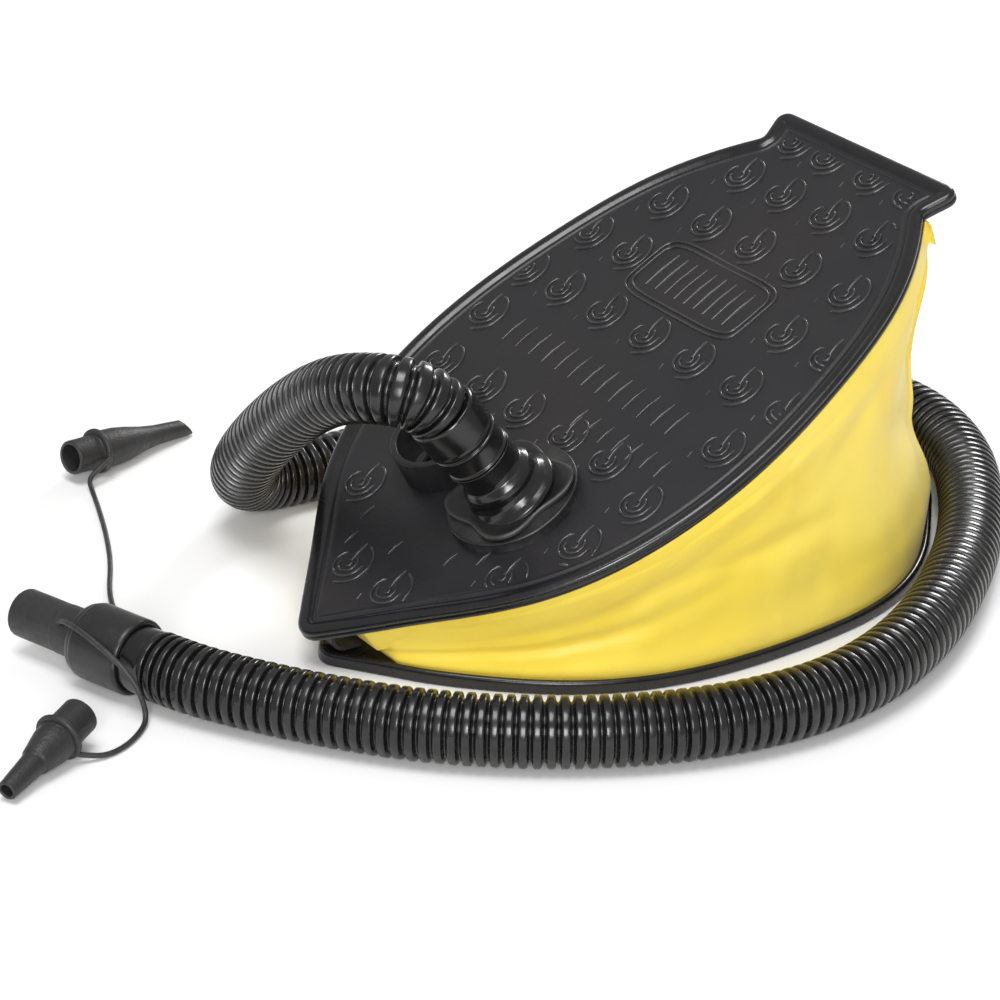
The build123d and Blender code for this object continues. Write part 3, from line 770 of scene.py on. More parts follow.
# ---- hose ------------------------------------------------------------------------------
@dataclass
class Hose:
    """The corrugated hose, from the outlet's cuff to the nozzle's cuff."""

    radius: float = 12.25
    groove: float = 2.3        # the groove's depth
    pitch: float = 4.5
    end_pitch: float = 3.4     # of the few ridges beside the end cuff
    end_ridges: int = 4
    segments: int = 40
    path_step: float = 0.002   # between the points of the path that the cord states, in metres
    # One ridge and groove: share of the pitch, share of the groove's depth.
    ridge: Profile = ((0.0, 1.0), (0.11, 0.98), (0.18, 0.72), (0.24, 0.22), (0.30, 0.03), (0.40, 0.0),
                      (0.68, 0.0), (0.78, 0.03), (0.84, 0.22), (0.90, 0.72))

    def build(self) -> None:
        line = smooth_line(HOSE_ROUTE)
        reach = line_length(line)
        tight = self.end_ridges * self.end_pitch * MM
        count = round((reach - tight) / (self.pitch * MM))
        pitches = [(reach - tight) / count] * count + [self.end_pitch * MM] * self.end_ridges
        starts = np.concatenate([[0], np.cumsum(pitches)])
        lengths, radii = [], []
        for start, pitch in zip(starts, pitches):
            for share, drop in self.ridge:
                lengths.append(start + share * pitch)
                radii.append((self.radius - self.groove * drop) * MM)
        lengths.append(reach)
        radii.append((self.radius - self.groove) * MM)
        points = tube_rings(line, np.array(lengths), np.array(radii), self.segments)
        hose = make_piece("hose_corrugated", points, grid_faces(len(lengths), self.segments), SMOOTH)
        dress(hose, Finish.HOSE)
        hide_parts("hose_upper", "hose_floor")
        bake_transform(hose)
        LOG.info("hose: %.0f mm, %d ridges", reach / MM, count + self.end_ridges)


@dataclass
class Nozzle:
    """The hose's end cuff, the collar that grips it and the straight nozzle."""

    origin: Vector = field(default_factory=lambda: HOSE_ROUTE[-1].copy())
    axis: Vector = field(default_factory=lambda: Vector(MOUNTS["nozzle_outside"]["axis"]))
    radius: float = MOUNTS["nozzle_outside"]["dims"]["r_mm"]
    bore: float = MOUNTS["nozzle_bore"]["dims"]["r_mm"]
    # The turned walls: radius, distance along the nozzle.
    cuff: Profile = ((10.4, -2.2), (11.9, -2.2), (12.0, -0.6), (11.5, 0.2), (11.7, 1.2), (11.7, 23),
                     (10.4, 23))
    grip: Profile = ((11.75, 7.8), (13.1, 7.8), (13.65, 9.0), (13.65, 28.6), (13.1, 29.4), (13.1, 30.0),
                     (12.4, 31.7), (9.1, 31.7), (9.1, 26.2), (11.75, 26.2))
    start: float = 26.0        # of the nozzle, inside the collar
    root: float = 42.2         # where its wider root ends
    tip: float = 62.7
    step: float = 0.2          # the root's extra radius
    shoulder: float = 0.6      # length of the slope down from the root
    outer_bevel: Place = (0.7, 0.9)
    inner_bevel: Place = (0.5, 0.8)

    def build(self) -> None:
        """Makes the three pieces."""
        turned = {
            "end_cuff": (self.cuff, Finish.CUFF, "hose_vinyl", "hose_end_cuff"),
            "grip_collar": (self.grip, Finish.COLLAR, "collar_plastic", "nozzle_collar"),
            "nozzle": (self.outline(), Finish.NOZZLE, "nozzle_plastic", "nozzle_tube"),
        }
        for name, (corners, finish, slot, node) in turned.items():
            shape = Turned(name, self.origin, self.axis, corners, ease=0.5, segments=96)
            piece = dress(shape.build(), finish)
            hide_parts(node)
            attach(piece, "base")

    def outline(self) -> Profile:
        """The nozzle's wall, with its wider root and a lip inside the mouth.

        Returns:
            The wall's corners.
        """
        root = self.radius + self.step
        (outer_in, outer_down), (inner_out, inner_down) = self.outer_bevel, self.inner_bevel
        return ((self.bore, self.start), (root, self.start), (root, self.root),
                (self.radius, self.root + self.shoulder), (self.radius, self.tip - outer_down),
                (self.radius - outer_in, self.tip), (self.bore + inner_out, self.tip),
                (self.bore, self.tip - inner_down))


# The adapters' walls: radius, distance from the open base. Both have the same socket.
SOCKET = ((5.2, 0), (6.3, 0), (6.65, 0.5), (6.65, 11.0), (7.05, 12.1), (6.65, 12.15), (6.65, 14.3),
          (7.4, 14.3))
LONG_WALL = SOCKET + ((7.5, 16), (7.3, 22), (6.5, 28), (4.9, 36), (4.0, 43), (3.6, 52), (3.3, 62), (2.3, 62),
                      (2.2, 40), (5.2, 14))
SHORT_WALL = SOCKET + ((7.0, 18.5), (5.2, 27.3), (4.5, 27.8), (4.4, 29), (3.4, 44), (2.3, 44), (2.3, 28),
                       (5.2, 14))


@dataclass
class Adapter:
    """A tip adapter with its strap ring and the tether that ties it to the nozzle."""

    name: str
    outline: Profile
    route: Sequence[Vector]
    length: float              # of the tether, in metres
    slant: float = 0.0         # of the open tip, mm of length per mm across
    slant_from: float = 0.8    # share of the adapter's length where the slant begins
    mouth: float = 3.3         # radius of the slanted tip
    strap_from_base: float = 12.2
    strap: Profile = ((6.75, -0.1), (7.6, -0.25), (8.75, 0.3), (8.75, 1.7), (7.6, 2.25), (6.75, 2.1))
    tether_radius: float = 0.95
    rings: int = 140           # of the tether
    sides: int = 14
    swell: float = 0.55        # the tether's extra radius at its root on the nozzle
    swell_reach: float = 0.005  # length of that root, in metres
    closing_radius: float = 0.25    # of the tether's first ring

    def build(self) -> None:
        """Makes the adapter, its ring, its tether and the tether's root."""
        joint = JOINTS[f"{self.name}_adapter_turn"]
        axis, middle = Vector(joint["axis"]).normalized(), Vector(joint["pos_m"])
        root = middle - axis * (self.strap_from_base * MM)
        tip = Turned(f"tip_{self.name}", root, axis, self.outline, ease=0.5, segments=64).build()
        top = max(along for _, along in self.outline)
        side = side_vectors(axis)[1]
        for vertex in tip.data.vertices:
            away = (vertex.co - root) / MM
            share = max(0.0, (away.dot(axis) / top - self.slant_from) / (1 - self.slant_from))
            vertex.co -= axis * (share * self.slant * (away.dot(side) + self.mouth) * MM)
        dress(tip, Finish.NOZZLE)
        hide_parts(f"adapter_{self.name}")
        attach(tip, f"{self.name}_adapter")
        strap = Turned(f"strap_{self.name}", middle, axis, self.strap, ease=0.5, segments=64)
        ring = dress(strap.build(), Finish.NOZZLE)
        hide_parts(f"strap_ring_{self.name}")
        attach(ring, "base")
        self.tether()

    def tether(self) -> None:
        """Makes the tether as a smooth tube with a broader root on the nozzle.
        """
        line = smooth_line(self.route)
        reach = line_length(line)
        lengths = np.linspace(0, reach, self.rings)
        nearness = np.clip(1 - lengths / self.swell_reach, 0, 1) ** 2
        radii = (self.tether_radius + self.swell * nearness) * MM
        radii[0] = self.closing_radius * MM
        tube = make_piece(f"tie_{self.name}", tube_rings(line, lengths, radii, self.sides),
                          grid_faces(self.rings, self.sides), SMOOTH)
        dress(tube, Finish.NOZZLE)
        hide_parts(f"tether_{self.name}")
        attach(tube, "base")


# ---- plates ----------------------------------------------------------------------------
def wall_loop(node: str, place_of: Callable[[Vector], Spot], height: float) -> np.ndarray:
    """The loop that a plate's outer wall draws at one height.

    Args:
        node: The CAD node.
        place_of: Gives a vertex's (x, y, height) in millimetres in the plate's frame.
        height: The wanted height, which the wall's own vertices have.

    Returns:
        The loop's (x, y) points in order, counter-clockwise.
    """
    mesh = frame["nodes"][node].data
    places = [place_of(v.co) for v in mesh.vertices]
    near: dict[Place, set[Place]] = {}
    for edge in mesh.edges:
        ends = [places[i] for i in edge.vertices]
        if all(abs(p[2] - height) < LEVEL for p in ends):
            a, b = (tuple(round(c, 3) for c in p[:2]) for p in ends)
            if a != b:
                near.setdefault(a, set()).add(b)
                near.setdefault(b, set()).add(a)
    start = min(near)
    loop, here = [start], start
    while True:
        onward = [p for p in near[here] if p not in loop[-3:] and (p != start or len(loop) > RING_MARGIN)]
        if not onward:
            break
        here = min(onward, key=lambda p: math.dist(p, here))
        if here == start or len(loop) > len(near) + RING_MARGIN:
            break
        loop.append(here)
    points = np.array(loop)
    area = np.sum(points[:, 0] * np.roll(points[:, 1], -1) - points[:, 1] * np.roll(points[:, 0], -1))
    return points if area > 0 else points[::-1]


def spread_loop(loop: np.ndarray, count: int) -> np.ndarray:
    """Spaces a closed loop's points evenly, from the middle of its front.

    Args:
        loop: The loop's points.
        count: How many points the result has.

    Returns:
        The new points.
    """
    # The small share of y settles which point of a straight front is its middle.
    loop = np.roll(loop, -int(np.argmin(loop[:, 0] + 0.001 * np.abs(loop[:, 1]))), axis=0)
    closed = np.vstack([loop, loop[:1]])
    along = np.concatenate([[0], np.cumsum(np.linalg.norm(np.diff(closed, axis=0), axis=1))])
    at = np.linspace(0, along[-1], count, endpoint=False)
    return np.stack([np.interp(at, along, closed[:, k]) for k in range(2)], axis=1)


def inset_loop(loop: np.ndarray, distance: float) -> np.ndarray:
    """Moves a counter-clockwise loop inwards, and draws in what would fold over at a sharp corner.

    Args:
        loop: The loop's points.
        distance: How far to move them, in the loop's own units.

    Returns:
        As many points.
    """
    ahead, behind = np.roll(loop, -1, axis=0), np.roll(loop, 1, axis=0)
    along = (ahead - behind) / np.linalg.norm(ahead - behind, axis=1)[:, None]
    moved = loop + distance * np.stack([-along[:, 1], along[:, 0]], axis=1)
    gap = np.linalg.norm(moved[:, None] - loop[None], axis=2).min(axis=1)
    good = np.flatnonzero(gap > distance - INSET_SLACK)
    index = np.arange(len(loop))
    return np.stack([np.interp(index, good, moved[good, k], period=len(loop)) for k in range(2)], axis=1)


def flat_place(point: Vector) -> Spot:
    """A point of the row frame in millimetres, as the base plate's (x, y, height)."""
    return point.x / MM, point.y / MM, point.z / MM


WALL_LEVEL = 3.4               # a height that both plates' outer walls have an edge at
TOP_OUTLINE = wall_loop("top_plate", DECK.place, WALL_LEVEL)
BASE_OUTLINE = wall_loop("base_plate", flat_place, WALL_LEVEL)


@dataclass
class Plate:
    """A moulded plate: a rounded bead round a sunken field."""

    name: str
    node: str
    outline: np.ndarray
    rim: Profile               # distance in from the outline, height over the underside
    bead_rows: int             # rings of the rim that are smooth and glossy
    count: int = 700
    hole_count: int = 64       # points round each port

    def build(self, point_of: Callable[..., Vector], field_finish: Finish,
              ports: Sequence[Spot]) -> bpy.types.Object:
        """Makes the plate.

        Args:
            point_of: Gives the row frame's point for (x, y, height).
            field_finish: The finish inside the bead.
            ports: Round holes, each (x, y, radius).

        Returns:
            The plate.
        """
        loop = spread_loop(self.outline, self.count)
        rings = [(inset_loop(loop, inset) if inset > 0 else loop, height) for inset, height in self.rim]
        points = [point_of(x, y, height) for ring, height in rings for x, y in ring]
        faces = grid_faces(len(rings), self.count)
        for ring_index, flip in ((0, True), (len(rings) - 1, False)):
            ring, height = rings[ring_index]
            outlines, keys = [ring], [ring_index * self.count + k for k in range(self.count)]
            for x, y, radius in ports:
                hole = [(x + radius * cosine, y + radius * sine)
                        for cosine, sine in circle_steps(self.hole_count)]
                outlines.append(hole)
                keys += range(len(points), len(points) + self.hole_count)
                points += [point_of(*spot, height) for spot in hole]
            flat = [[Vector((x, y, 0)) for x, y in outline] for outline in outlines]
            for triangle in geometry.tessellate_polygon(flat):
                face = tuple(keys[k] for k in triangle)
                faces.append(face[::-1] if flip else face)
        plate = dress(make_piece(self.name, points, faces, 50), field_finish)
        plate.data.materials.append(MATERIALS[Finish.RIM])
        for polygon in plate.data.polygons[:self.bead_rows * self.count]:
            polygon.material_index = 1
        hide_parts(self.node)
        return plate


@dataclass
class Treads:
    """The raised swirls, ribs and ticks of the tread."""

    base: float = 3.75         # the field's height over the plate's underside
    height: float = 0.95
    sunk: float = 0.15         # of a line's edges in the field
    end_share: float = 0.35    # of the height that a line keeps at its ends
    sides: int = 7             # points across a line's back
    flatness: float = 0.7      # under 1 makes the back flatter
    clear: float = 9.2         # kept free inside the plate's outline
    port_clear: float = 18.0   # kept free round each port's centre
    samples: int = 500         # points of the field's edge
    # Rows from the tail forwards: distance from the hinge, and the swirls across it.
    rows: Sequence[tuple[float, Sequence[float]]] = (
        (254.0, (32, 12.5, -12, -34)), (231.0, (37, 13, -12.5, -38)), (206.0, (54, 28, 2, -24, -51)),
        (180.0, (69, 45, -45.5, -70)), (153.5, (77, 54, 28, 2, -24, -51, -76)), (129.5, (72.5, -69)),
        (103.0, (67, 40, 15.5, -11, -36)), (95.5, (-63,)), (70.6, (-58.5,)), (46.0, (42, -46.8)),
        (18.4, (11.8, -12.8)))
    # A swirl's arcs: radius, first and last angle, growth of the radius, places, width.
    arcs: Sequence[tuple[float, float, float, float, int, float]] = (
        (9.6, -4, -168, -0.6, 22, 1.2), (6.3, -70, -305, -0.4, 22, 1.15), (3.6, -10, -260, 0.4, 16, 1.0),
        (1.4, 40, -190, 0.2, 10, 0.9))
    dashes: Sequence[Stroke] = ((((1.8, 0.4), (4.5, 0.8), (7.5, 1.2), (10.0, 1.6)), 1.2),
                                (((-9.0, 7.2), (-6.4, 7.9)), 1.1))
    # The panel: its centre, half its length and width, and how far in its second line runs.
    panel_centre: Place = (180.5, 2.0)
    panel_half: Place = (15.0, 32.0)
    panel_step: float = 2.2
    panel_power: float = 0.35  # under 1 squares the panel's corners
    panel_count: int = 48
    panel_width: float = 1.1
    # The panel's bars: how many to each side of the middle one, spacing, half their length, width.
    panel_bars: tuple[int, float, float, float] = (4, 5.6, 8.5, 1.3)
    # Rows of bars: distance from the hinge, first place across, bars, half their length.
    bar_rows: Sequence[tuple[float, float, int, float]] = ((129.5, -45, 13, 6.0), (112.0, -58, 7, 4.5))
    bar_spacing: float = 8.2
    bar_width: float = 1.0
    ticks: Profile = ((38, 27), (33, 2), (41, -22), (48, -33), (27, 22))
    tick_half: float = 3.5
    tick_width: float = 0.95

    def stroke(self, spots: Profile, width: float) -> tuple[list[Vector], list[tuple[int, ...]]]:
        """A raised line with a rounded back and tapered ends.

        Args:
            spots: The line's (x, y) places on the plate.
            width: Its width.

        Returns:
            Its points and faces.
        """
        spine = np.array(spots, float)
        ahead = np.gradient(spine, axis=0)
        ahead /= np.linalg.norm(ahead, axis=1)[:, None]
        points, faces = [], []
        last, sides = len(spine) - 1, self.sides
        for k, (spot, way) in enumerate(zip(spine, ahead)):
            share = self.end_share if k in (0, last) else 1.0
            for a in np.linspace(0, math.pi, sides):
                side = 0.5 * width * math.cos(a) * (1 + share) / 2
                rise = self.height * share * math.sin(a) ** self.flatness - self.sunk
                points.append(DECK.point(spot[0] + way[1] * side, spot[1] - way[0] * side, self.base + rise))
        for k in range(last):
            for corner in range(k * sides, k * sides + sides - 1):
                faces.append((corner, corner + sides, corner + sides + 1, corner + 1))
        faces += [tuple(range(sides)), tuple(reversed(range(last * sides, (last + 1) * sides)))]
        return points, faces

    def arc(self, radius: float, start: float, end: float, growth: float, count: int) -> list[Place]:
        """Places along an arc whose radius grows towards its end.

        Args:
            radius: The first place's radius.
            start: The first place's angle in degrees.
            end: The last place's angle.
            growth: The radius gained by the last place.
            count: How many places.

        Returns:
            The places, about the arc's own centre.
        """
        turns = [math.radians(start + (end - start) * k / (count - 1)) for k in range(count)]
        grown = [radius + growth * k / (count - 1) for k in range(count)]
        return [(r * math.cos(a), r * math.sin(a)) for r, a in zip(grown, turns)]

    def swirl(self) -> list[Stroke]:
        """One swirl's lines about its own centre, each with its width."""
        return [(self.arc(*arc), width) for *arc, width in self.arcs] + list(self.dashes)

    def within(self, spots: Profile, keep: np.ndarray) -> list[Profile]:
        """The stretches of a line that lie on the open field.

        Args:
            spots: The line's places.
            keep: The field's edge, counter-clockwise.

        Returns:
            The stretches of three places or more, or of two for a short bar.
        """
        after = np.roll(keep, -1, axis=0)
        run_x, run_y = (after - keep).T
        runs, run = [], []
        for x, y in spots:
            crosses = (keep[:, 1] > y) != (after[:, 1] > y)
            reach = keep[:, 0] + (y - keep[:, 1]) * run_x / (run_y + TINY)
            inside = int(np.sum(crosses & (x < reach))) % 2 == 1
            clear = all(math.dist((x, y), (PORT_X, side * PORT_Y)) > self.port_clear for side in (-1, 1))
            if inside and clear:
                run.append((x, y))
            else:
                runs.append(run)
                run = []
        return [part for part in [*runs, run] if len(part) >= min(3, len(spots))]

    def lines(self) -> list[Stroke]:
        """Every line of the tread that lies on the open field.

        Returns:
            The lines with their widths.
        """
        found = []
        for x, row in self.rows:
            for y in row:
                found += [([(x + a, y + b) for a, b in spots], width) for spots, width in self.swirl()]
        keep = inset_loop(spread_loop(TOP_OUTLINE, self.samples), self.clear)
        return [(part, width) for spots, width in found + self.panel() + self.ribs()
                for part in self.within(spots, keep)]

    def bar(self, x: float, y: float, half: float, width: float) -> Stroke:
        """A straight bar along the plate, about its middle."""
        return ((x - half, y), (x, y), (x + half, y)), width

    def panel(self) -> list[Stroke]:
        """A plain rounded panel of grip bars in the middle of the plate.

        Returns:
            Its two outlines and its bars.
        """
        (x, y), (long, wide) = self.panel_centre, self.panel_half
        found = []
        for step in (0.0, self.panel_step):
            spots = []
            for k in range(self.panel_count + 1):
                a = 2 * math.pi * k / self.panel_count
                c, s = math.cos(a), math.sin(a)
                spots.append((x + (long - step) * math.copysign(abs(c) ** self.panel_power, c),
                              y + (wide - step) * math.copysign(abs(s) ** self.panel_power, s)))
            found.append((spots, self.panel_width))
        beside, spacing, half, width = self.panel_bars
        return found + [self.bar(x, y + k * spacing, half, width) for k in range(-beside, beside + 1)]

    def ribs(self) -> list[Stroke]:
        """Plain rows of grip bars between the swirls, and the few ticks near the front.

        Returns:
            The bars and the ticks.
        """
        found = [self.bar(x, start + self.bar_spacing * k, half, self.bar_width)
                 for x, start, count, half in self.bar_rows for k in range(count)]
        return found + [self.bar(x, y, self.tick_half, self.tick_width) for x, y in self.ticks]

    def build(self) -> None:
        """Makes every raised line as one piece that rides on the plate."""
        points, faces = [], []
        for spots, width in self.lines():
            more, sides = self.stroke(spots, width)
            faces += [tuple(k + len(points) for k in side) for side in sides]
            points += more
        treads = dress(make_piece("tread_relief", points, faces, 60), Finish.RELIEF)
        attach(treads, "top")


# ---- bellows ---------------------------------------------------------------------------
def bell(value: float, centre: float, width: float) -> float:
    """A smooth hump: 1 at the centre, falling to nothing a few widths away."""
    return math.exp(-((value - centre) / width) ** 2)


@dataclass
class Bellows:
    """The vinyl bellows: a wall drawn from the base's outline to the upper plate's."""

    columns: int = 420
    rows: int = 64
    foot: float = 0.0042       # height of its foot, just in the base's field
    inset: float = 2.6
    hem: float = 0.011
    # Where the straight ends of its edges lie: millimetres from the hinge, then on the base.
    top_ends: tuple[float, float] = (3.6, 249.6)
    foot_ends: tuple[float, float] = (-112.3, 132.0)
    samples: int = 700         # points of an outline before the edge is spaced
    soften: int = 12           # neighbours on each side that soften a direction
    # Swellings up the wall: how far it stands out, their middle, their width.
    tail_width: float = 0.17   # share of the loop over which the tail's take over from the flanks'
    tail_swells: Sequence[Spot] = ((1.2, 0.86, 0.13), (-6.5, 0.55, 0.2), (4.0, 0.05, 0.13))
    flank_swells: Sequence[Spot] = ((1.5, 0.9, 0.12), (-1.6, 0.45, 0.3), (1.2, 0.06, 0.1))
    # Slanting creases: middle round the wall, slope, middle up it, length, depth, width.
    creases: Sequence[tuple[float, ...]] = (
        (0.10, 0.9, 0.34, 0.09, 2.6, 0.07), (0.17, 1.2, 0.62, 0.08, 1.8, 0.09),
        (0.25, -1.6, 0.52, 0.05, 1.7, 0.06), (0.42, -3.2, 0.36, 0.045, 3.2, 0.08),
        (0.90, -0.9, 0.36, 0.09, 2.4, 0.07), (0.80, -1.1, 0.6, 0.08, 1.8, 0.09),
        (0.58, 3.0, 0.38, 0.045, 2.6, 0.08), (0.33, 2.0, 0.75, 0.04, 1.2, 0.08),
        (0.69, -2.0, 0.72, 0.04, 1.2, 0.08))
    # Ripples: height, how many round the wall and up it, and a place in the noise.
    ripples: Sequence[tuple[float, ...]] = ((0.9, 26, 3, 1.7), (0.45, 60, 6, 7.1))
    edge_rise: float = 7.0     # how fast the folds start from either edge
    full_height: float = 45.0  # of the wall in millimetres, from which its folds have their full depth
    # The hem: distance down from the plate, distance out, in metres.
    hem_drops: Profile = ((-0.001, 0.0), (0.0, 0.0014), (0.002, 0.0016), (0.006, 0.0010))
    hem_edge: float = 0.0002

    def ring(self, outline: np.ndarray, front: float, back: float) -> np.ndarray:
        """The bellows' edge in one plate's plane.

        Args:
            outline: The plate's outline.
            front: Where the edge runs straight across at the front.
            back: The same at the tail.

        Returns:
            Evenly spaced (x, y) places, from the middle of the front.
        """
        loop = inset_loop(spread_loop(outline, self.samples), self.inset)
        loop[:, 0] = np.clip(loop[:, 0], front, back)
        return spread_loop(loop, self.columns)

    def outward(self, ring: np.ndarray) -> np.ndarray:
        """The directions straight out from a ring's points, softened at its corners.

        Args:
            ring: The ring's points.

        Returns:
            One (x, y) direction a point, shorter near a corner.
        """
        ahead = np.roll(ring, -1, axis=0) - np.roll(ring, 1, axis=0)
        out = np.stack([ahead[:, 1], -ahead[:, 0]], axis=1)
        out /= np.linalg.norm(out, axis=1)[:, None] + TINY
        turns = range(-self.soften, self.soften + 1)
        return sum(np.roll(out, turn, axis=0) for turn in turns) / len(turns)

    def shape(self, u: float, v: float) -> float:
        """How far the wall stands out, in millimetres.

        Args:
            u: The place round the wall, 0 at the front and 0.5 at the tail.
            v: The place up the wall, 0 at the foot and 1 at the upper plate.

        Returns:
            The distance, negative where the wall is drawn in.
        """
        rear = bell(u, 0.5, self.tail_width)
        out = 0.0
        for weight, swells in ((rear, self.tail_swells), (1 - rear, self.flank_swells)):
            out += weight * sum(push * bell(v, middle, width) for push, middle, width in swells)
        for centre, slope, level, reach, depth, width in self.creases:
            out -= depth * bell(v, level + slope * (u - centre), width) * bell(u, centre, reach)
        for height, around, upward, place in self.ripples:
            out += height * noise.noise(Vector((u * around, v * upward, place)))
        return out * min(1.0, self.edge_rise * v, self.edge_rise * (1 - v))

    def build(self) -> None:
        """Makes the wall and its hem under the upper plate."""
        low = np.array([(x * MM, y * MM, self.foot) for x, y in self.ring(BASE_OUTLINE, *self.foot_ends)])
        high = np.array([DECK.point(x, y, 0.0) for x, y in self.ring(TOP_OUTLINE, *self.top_ends)])
        tall = np.linalg.norm(high - low, axis=1) / MM
        points = []
        for row in range(self.rows):
            v = row / (self.rows - 1)
            ring = low + (high - low) * v
            out = self.outward(ring)
            for k in range(self.columns):
                scale = min(1.0, tall[k] / self.full_height)
                push = self.shape(k / self.columns, v) * scale * MM
                points.append(Vector(ring[k]) + Vector((*out[k], 0)) * push)
        wall = make_piece("bellows_wall", points, grid_faces(self.rows, self.columns), SMOOTH)
        dress(wall, Finish.BELLOWS)
        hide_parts("bellows")
        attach(wall, "base")
        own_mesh(wall)
        self.skirt(high)

    def skirt(self, high: np.ndarray) -> None:
        """The hem that hangs from the upper plate, over the top of the wall.

        Args:
            high: The wall's upper ring.
        """
        out = self.outward(high)
        points, drops = [], [*self.hem_drops, (self.hem, self.hem_edge)]
        for drop, proud in drops:
            for place, way in zip(high, out):
                points.append(Vector(place) - DECK.up * drop + Vector((*way, 0)) * proud)
        hem = make_piece("bellows_hem", points, grid_faces(len(drops), self.columns), SMOOTH)
        dress(hem, Finish.BELLOWS)
        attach(hem, "top")


# ---- ports -----------------------------------------------------------------------------
@dataclass
class Outlet:
    """The outlet's lobed flange, its leaning column and the hose's cuff."""

    flange_low: float = 8.0    # the gasket's top, over the plate's underside
    dome_rise: float = 2.5     # of the dome's centre over the gasket
    mean: float = 21.3
    lobe: float = 2.8
    lobes: int = 4
    curl: float = 1.1          # how far a lobe's edge curls up
    curl_from: float = 14.0    # the radius where the curl starts
    curl_reach: float = 10.0
    curl_even: float = 0.6     # share of the curl half way between a lobe and a dip
    curl_swing: float = 0.4    # share that a lobe gains and a dip loses
    flange_count: int = 160
    # The flange: share of the reach from the dome out to the lobes' edge, height over the gasket.
    section: Profile = ((0.25, 0.0), (0.97, 0.0), (1.0, 0.35), (1.0, 1.3), (0.975, 1.75), (0.93, 1.85),
                        (0.88, 1.55), (0.6, 1.5), (0.25, 2.6))
    # The column and the cuff: radius, distance from the dome's centre.
    column: Profile = ((7.9, -2), (17.8, -2), (17.4, -0.6), (15.8, 0.9), (14.4, 2.6), (13.7, 4.4),
                       (13.8, 6.2), (13.4, 8.0), (12.3, 9.4), (11.5, 10.3), (11.2, 12.0), (11.3, 17.6),
                       (12.3, 18.0), (12.4, 19.0), (7.9, 19.0))
    cuff: Profile = ((9.5, 19.1), (11.9, 19.1), (12.3, 19.7), (11.6, 20.4), (11.5, 26.6), (12.5, 27.2),
                     (12.6, 28.0), (11.9, 28.5), (12.7, 29.3), (12.9, 30.2), (12.7, 31.2), (12.7, 41.6),
                     (12.2, 42.4), (9.5, 42.4))

    def spout(self) -> tuple[Vector, Vector]:
        """The dome's centre and the spout's direction, from the hose's first run."""
        centre = DECK.point(PORT_X, -PORT_Y, self.flange_low + self.dome_rise)
        return centre, (HOSE_ROUTE[0] - centre).normalized()

    def flange(self) -> bpy.types.Object:
        """Makes the flange, whose lobes curl up a little.

        Returns:
            The flange.
        """
        points = []
        for share, height in self.section:
            for k in range(self.flange_count):
                a = 2 * math.pi * k / self.flange_count
                wave = math.cos(self.lobes * a)
                radius = (self.mean - self.lobe * wave) * share
                beyond = max(0.0, (radius - self.curl_from) / self.curl_reach)
                rise = height + self.curl * beyond ** 2 * (self.curl_even - self.curl_swing * wave)
                points.append(DECK.point(PORT_X + radius * math.cos(a), -PORT_Y + radius * math.sin(a),
                                         self.flange_low + rise))
        faces = grid_faces(len(self.section), self.flange_count, True)
        return make_piece("outlet_flange", points, faces, 40)

    def build(self) -> None:
        """Makes the flange, the column and the cuff."""
        centre, way = self.spout()
        flange = dress(self.flange(), Finish.FLANGE)
        turned = [Turned(name, centre, way, corners, ease=0.35, segments=96).build()
                  for name, corners in (("outlet_column", self.column), ("outlet_cuff", self.cuff))]
        column = dress(turned[0], Finish.CUFF)
        cuff = dress(turned[1], Finish.CUFF)
        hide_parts("outlet_connector")
        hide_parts("hose_cuff")
        for piece in (flange, column, cuff):
            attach(piece, "top")


@dataclass
class Spring:
    """The return spring: a helix bent round the hinge, with flat turns at both ends."""

    from_hinge: float = 135.0
    radius: float = 27.0
    wire: float = 1.4
    turns: float = 4.5
    dead: float = 0.75         # flat turns at each end
    clear: float = 2.75        # of its ends from the plane half way between the closed plates
    open_angle: float = 26.8
    per_turn: int = 72
    sides: int = 14
    end_share: float = 0.6     # of the wire's radius, at its cut ends
    keep: float = 0.19         # of its height that is left at full close

    def centre(self, turn: float) -> Vector:
        """The wire's centre after so many turns.

        Args:
            turn: The turns from the lower end.

        Returns:
            The row frame's point.
        """
        share = min(max((turn - self.dead) / (self.turns - 2 * self.dead), 0.0), 1.0)
        tilt, a = math.radians(share * self.open_angle), 2 * math.pi * turn
        along = Vector((math.cos(tilt), 0, math.sin(tilt)))
        up = Vector((-math.sin(tilt), 0, math.cos(tilt)))
        across = Vector((0, self.radius * math.sin(a), 0))
        reach = self.from_hinge + self.radius * math.cos(a)
        return Vector(JOINTS["plate_hinge"]["pos_m"]) + MM * (
            along * reach + across + up * ((2 * share - 1) * self.clear))

    def build(self) -> None:
        """Makes the coil."""
        count = round(self.turns * self.per_turn)
        line = np.array([self.centre(self.turns * k / count) for k in range(count + 1)])
        lengths = np.linspace(0, line_length(line), count)
        radii = np.full(count, self.wire * MM)
        radii[[0, -1]] = self.end_share * self.wire * MM
        coil = make_piece("return_spring", tube_rings(line, lengths, radii, self.sides),
                          grid_faces(count, self.sides), SMOOTH)
        dress(coil, Finish.STEEL)
        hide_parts("spring")
        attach(coil, "base")
        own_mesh(coil)


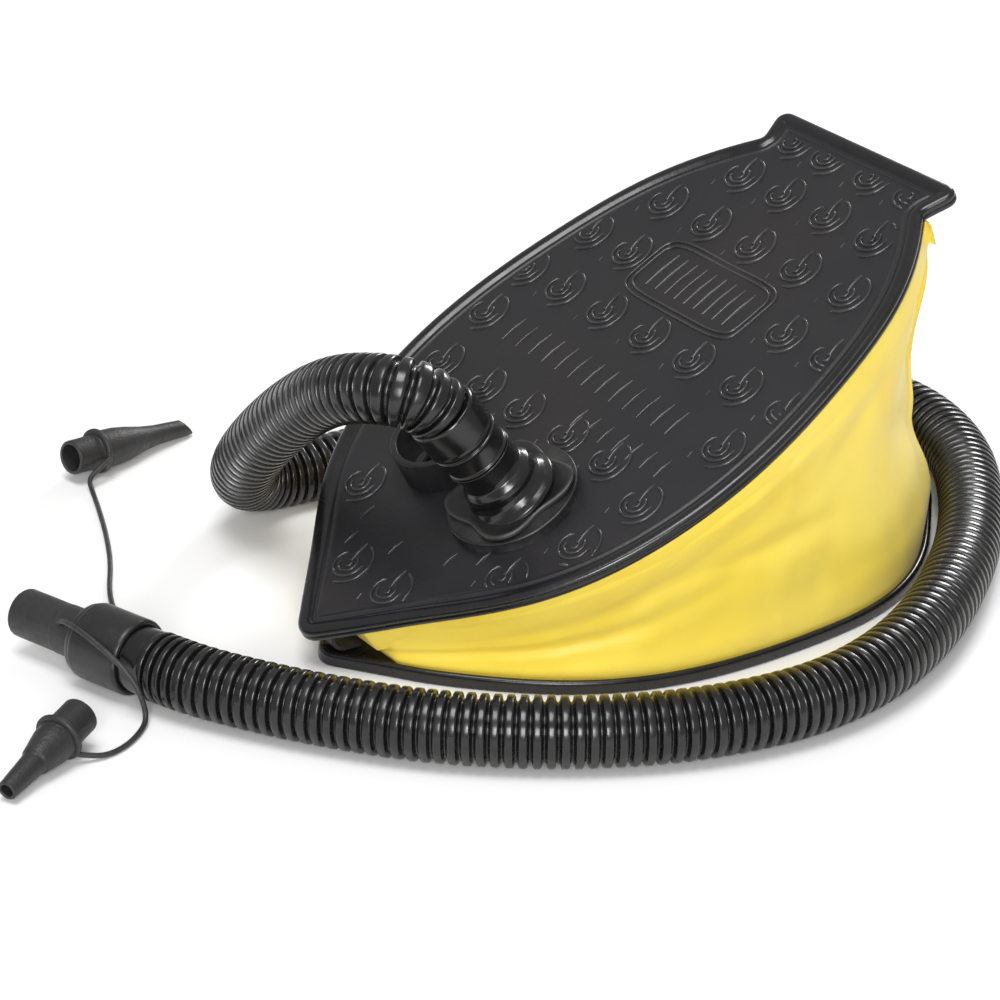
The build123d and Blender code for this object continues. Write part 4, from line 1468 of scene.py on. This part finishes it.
CAD_FINISHES = {
    Finish.PORT: ("inlet_collar", "outlet_gasket", "outlet_bush", "inlet_valve_seat", "outlet_valve_seat",
                  "inlet_lock_ring", "outlet_lock_ring", "spring_seat_lower", "spring_seat_upper"),
    Finish.RUBBER: ("inlet_valve_disc", "outlet_valve_disc", "hinge_web"),
}
# The plates' rims: distance in from the outline, height over the underside.
TOP_RIM = ((0.8, 0.0), (0.25, 0.15), (0.0, 0.7), (0.0, 1.75), (0.35, 2.05), (0.35, 2.3), (0.0, 2.6),
           (0.0, 3.4), (0.25, 4.1), (0.8, 4.65), (1.7, 4.95), (2.8, 5.0), (3.9, 4.85), (4.8, 4.45),
           (5.4, 3.9), (5.8, 3.75), (6.6, 3.75), (6.9, 4.1), (7.3, 4.25), (7.7, 4.1), (8.0, 3.8), (9.5, 3.8))
BASE_RIM = ((0.8, 0.0), (0.25, 0.15), (0.0, 0.7), (0.0, 3.6), (0.3, 4.45), (0.9, 4.9), (1.5, 5.0),
            (2.1, 4.75), (2.5, 4.4), (2.9, 4.3), (4.0, 4.3))
TOP_BEAD, BASE_BEAD = 15, 9    # rings of each rim that are smooth and glossy
PORT_HOLE = 16.1               # radius of the upper plate's holes


def build_plates() -> None:
    """Makes both plates from the outlines of their CAD walls."""
    ports = [(PORT_X, side * PORT_Y, PORT_HOLE) for side in (-1, 1)]
    upper = Plate("tread_plate", "top_plate", TOP_OUTLINE, TOP_RIM, TOP_BEAD)
    lower = Plate("ground_plate", "base_plate", BASE_OUTLINE, BASE_RIM, BASE_BEAD)
    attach(upper.build(DECK.point, Finish.TREAD, ports), "top")
    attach(lower.build(mm, Finish.RIM, []), "base")


def main() -> None:
    """Builds the pump's pieces in order and dresses the CAD pieces that stay."""
    logging.basicConfig(level=logging.INFO, format="%(name)s: %(message)s")
    Studio().build()
    Nozzle().build()
    Hose().build()
    Adapter("long", LONG_WALL, LONG_TETHER, 0.156, 0.9).build()
    Adapter("short", SHORT_WALL, SHORT_TETHER, 0.098).build()
    build_plates()
    Treads().build()
    Bellows().build()
    Spring().build()
    Outlet().build()
    for finish, nodes in CAD_FINISHES.items():
        for node in nodes:
            dress(frame["nodes"][node], finish)
            LOG.info("%s: kept from the frame", node)


if __name__ == "__main__":
    main()
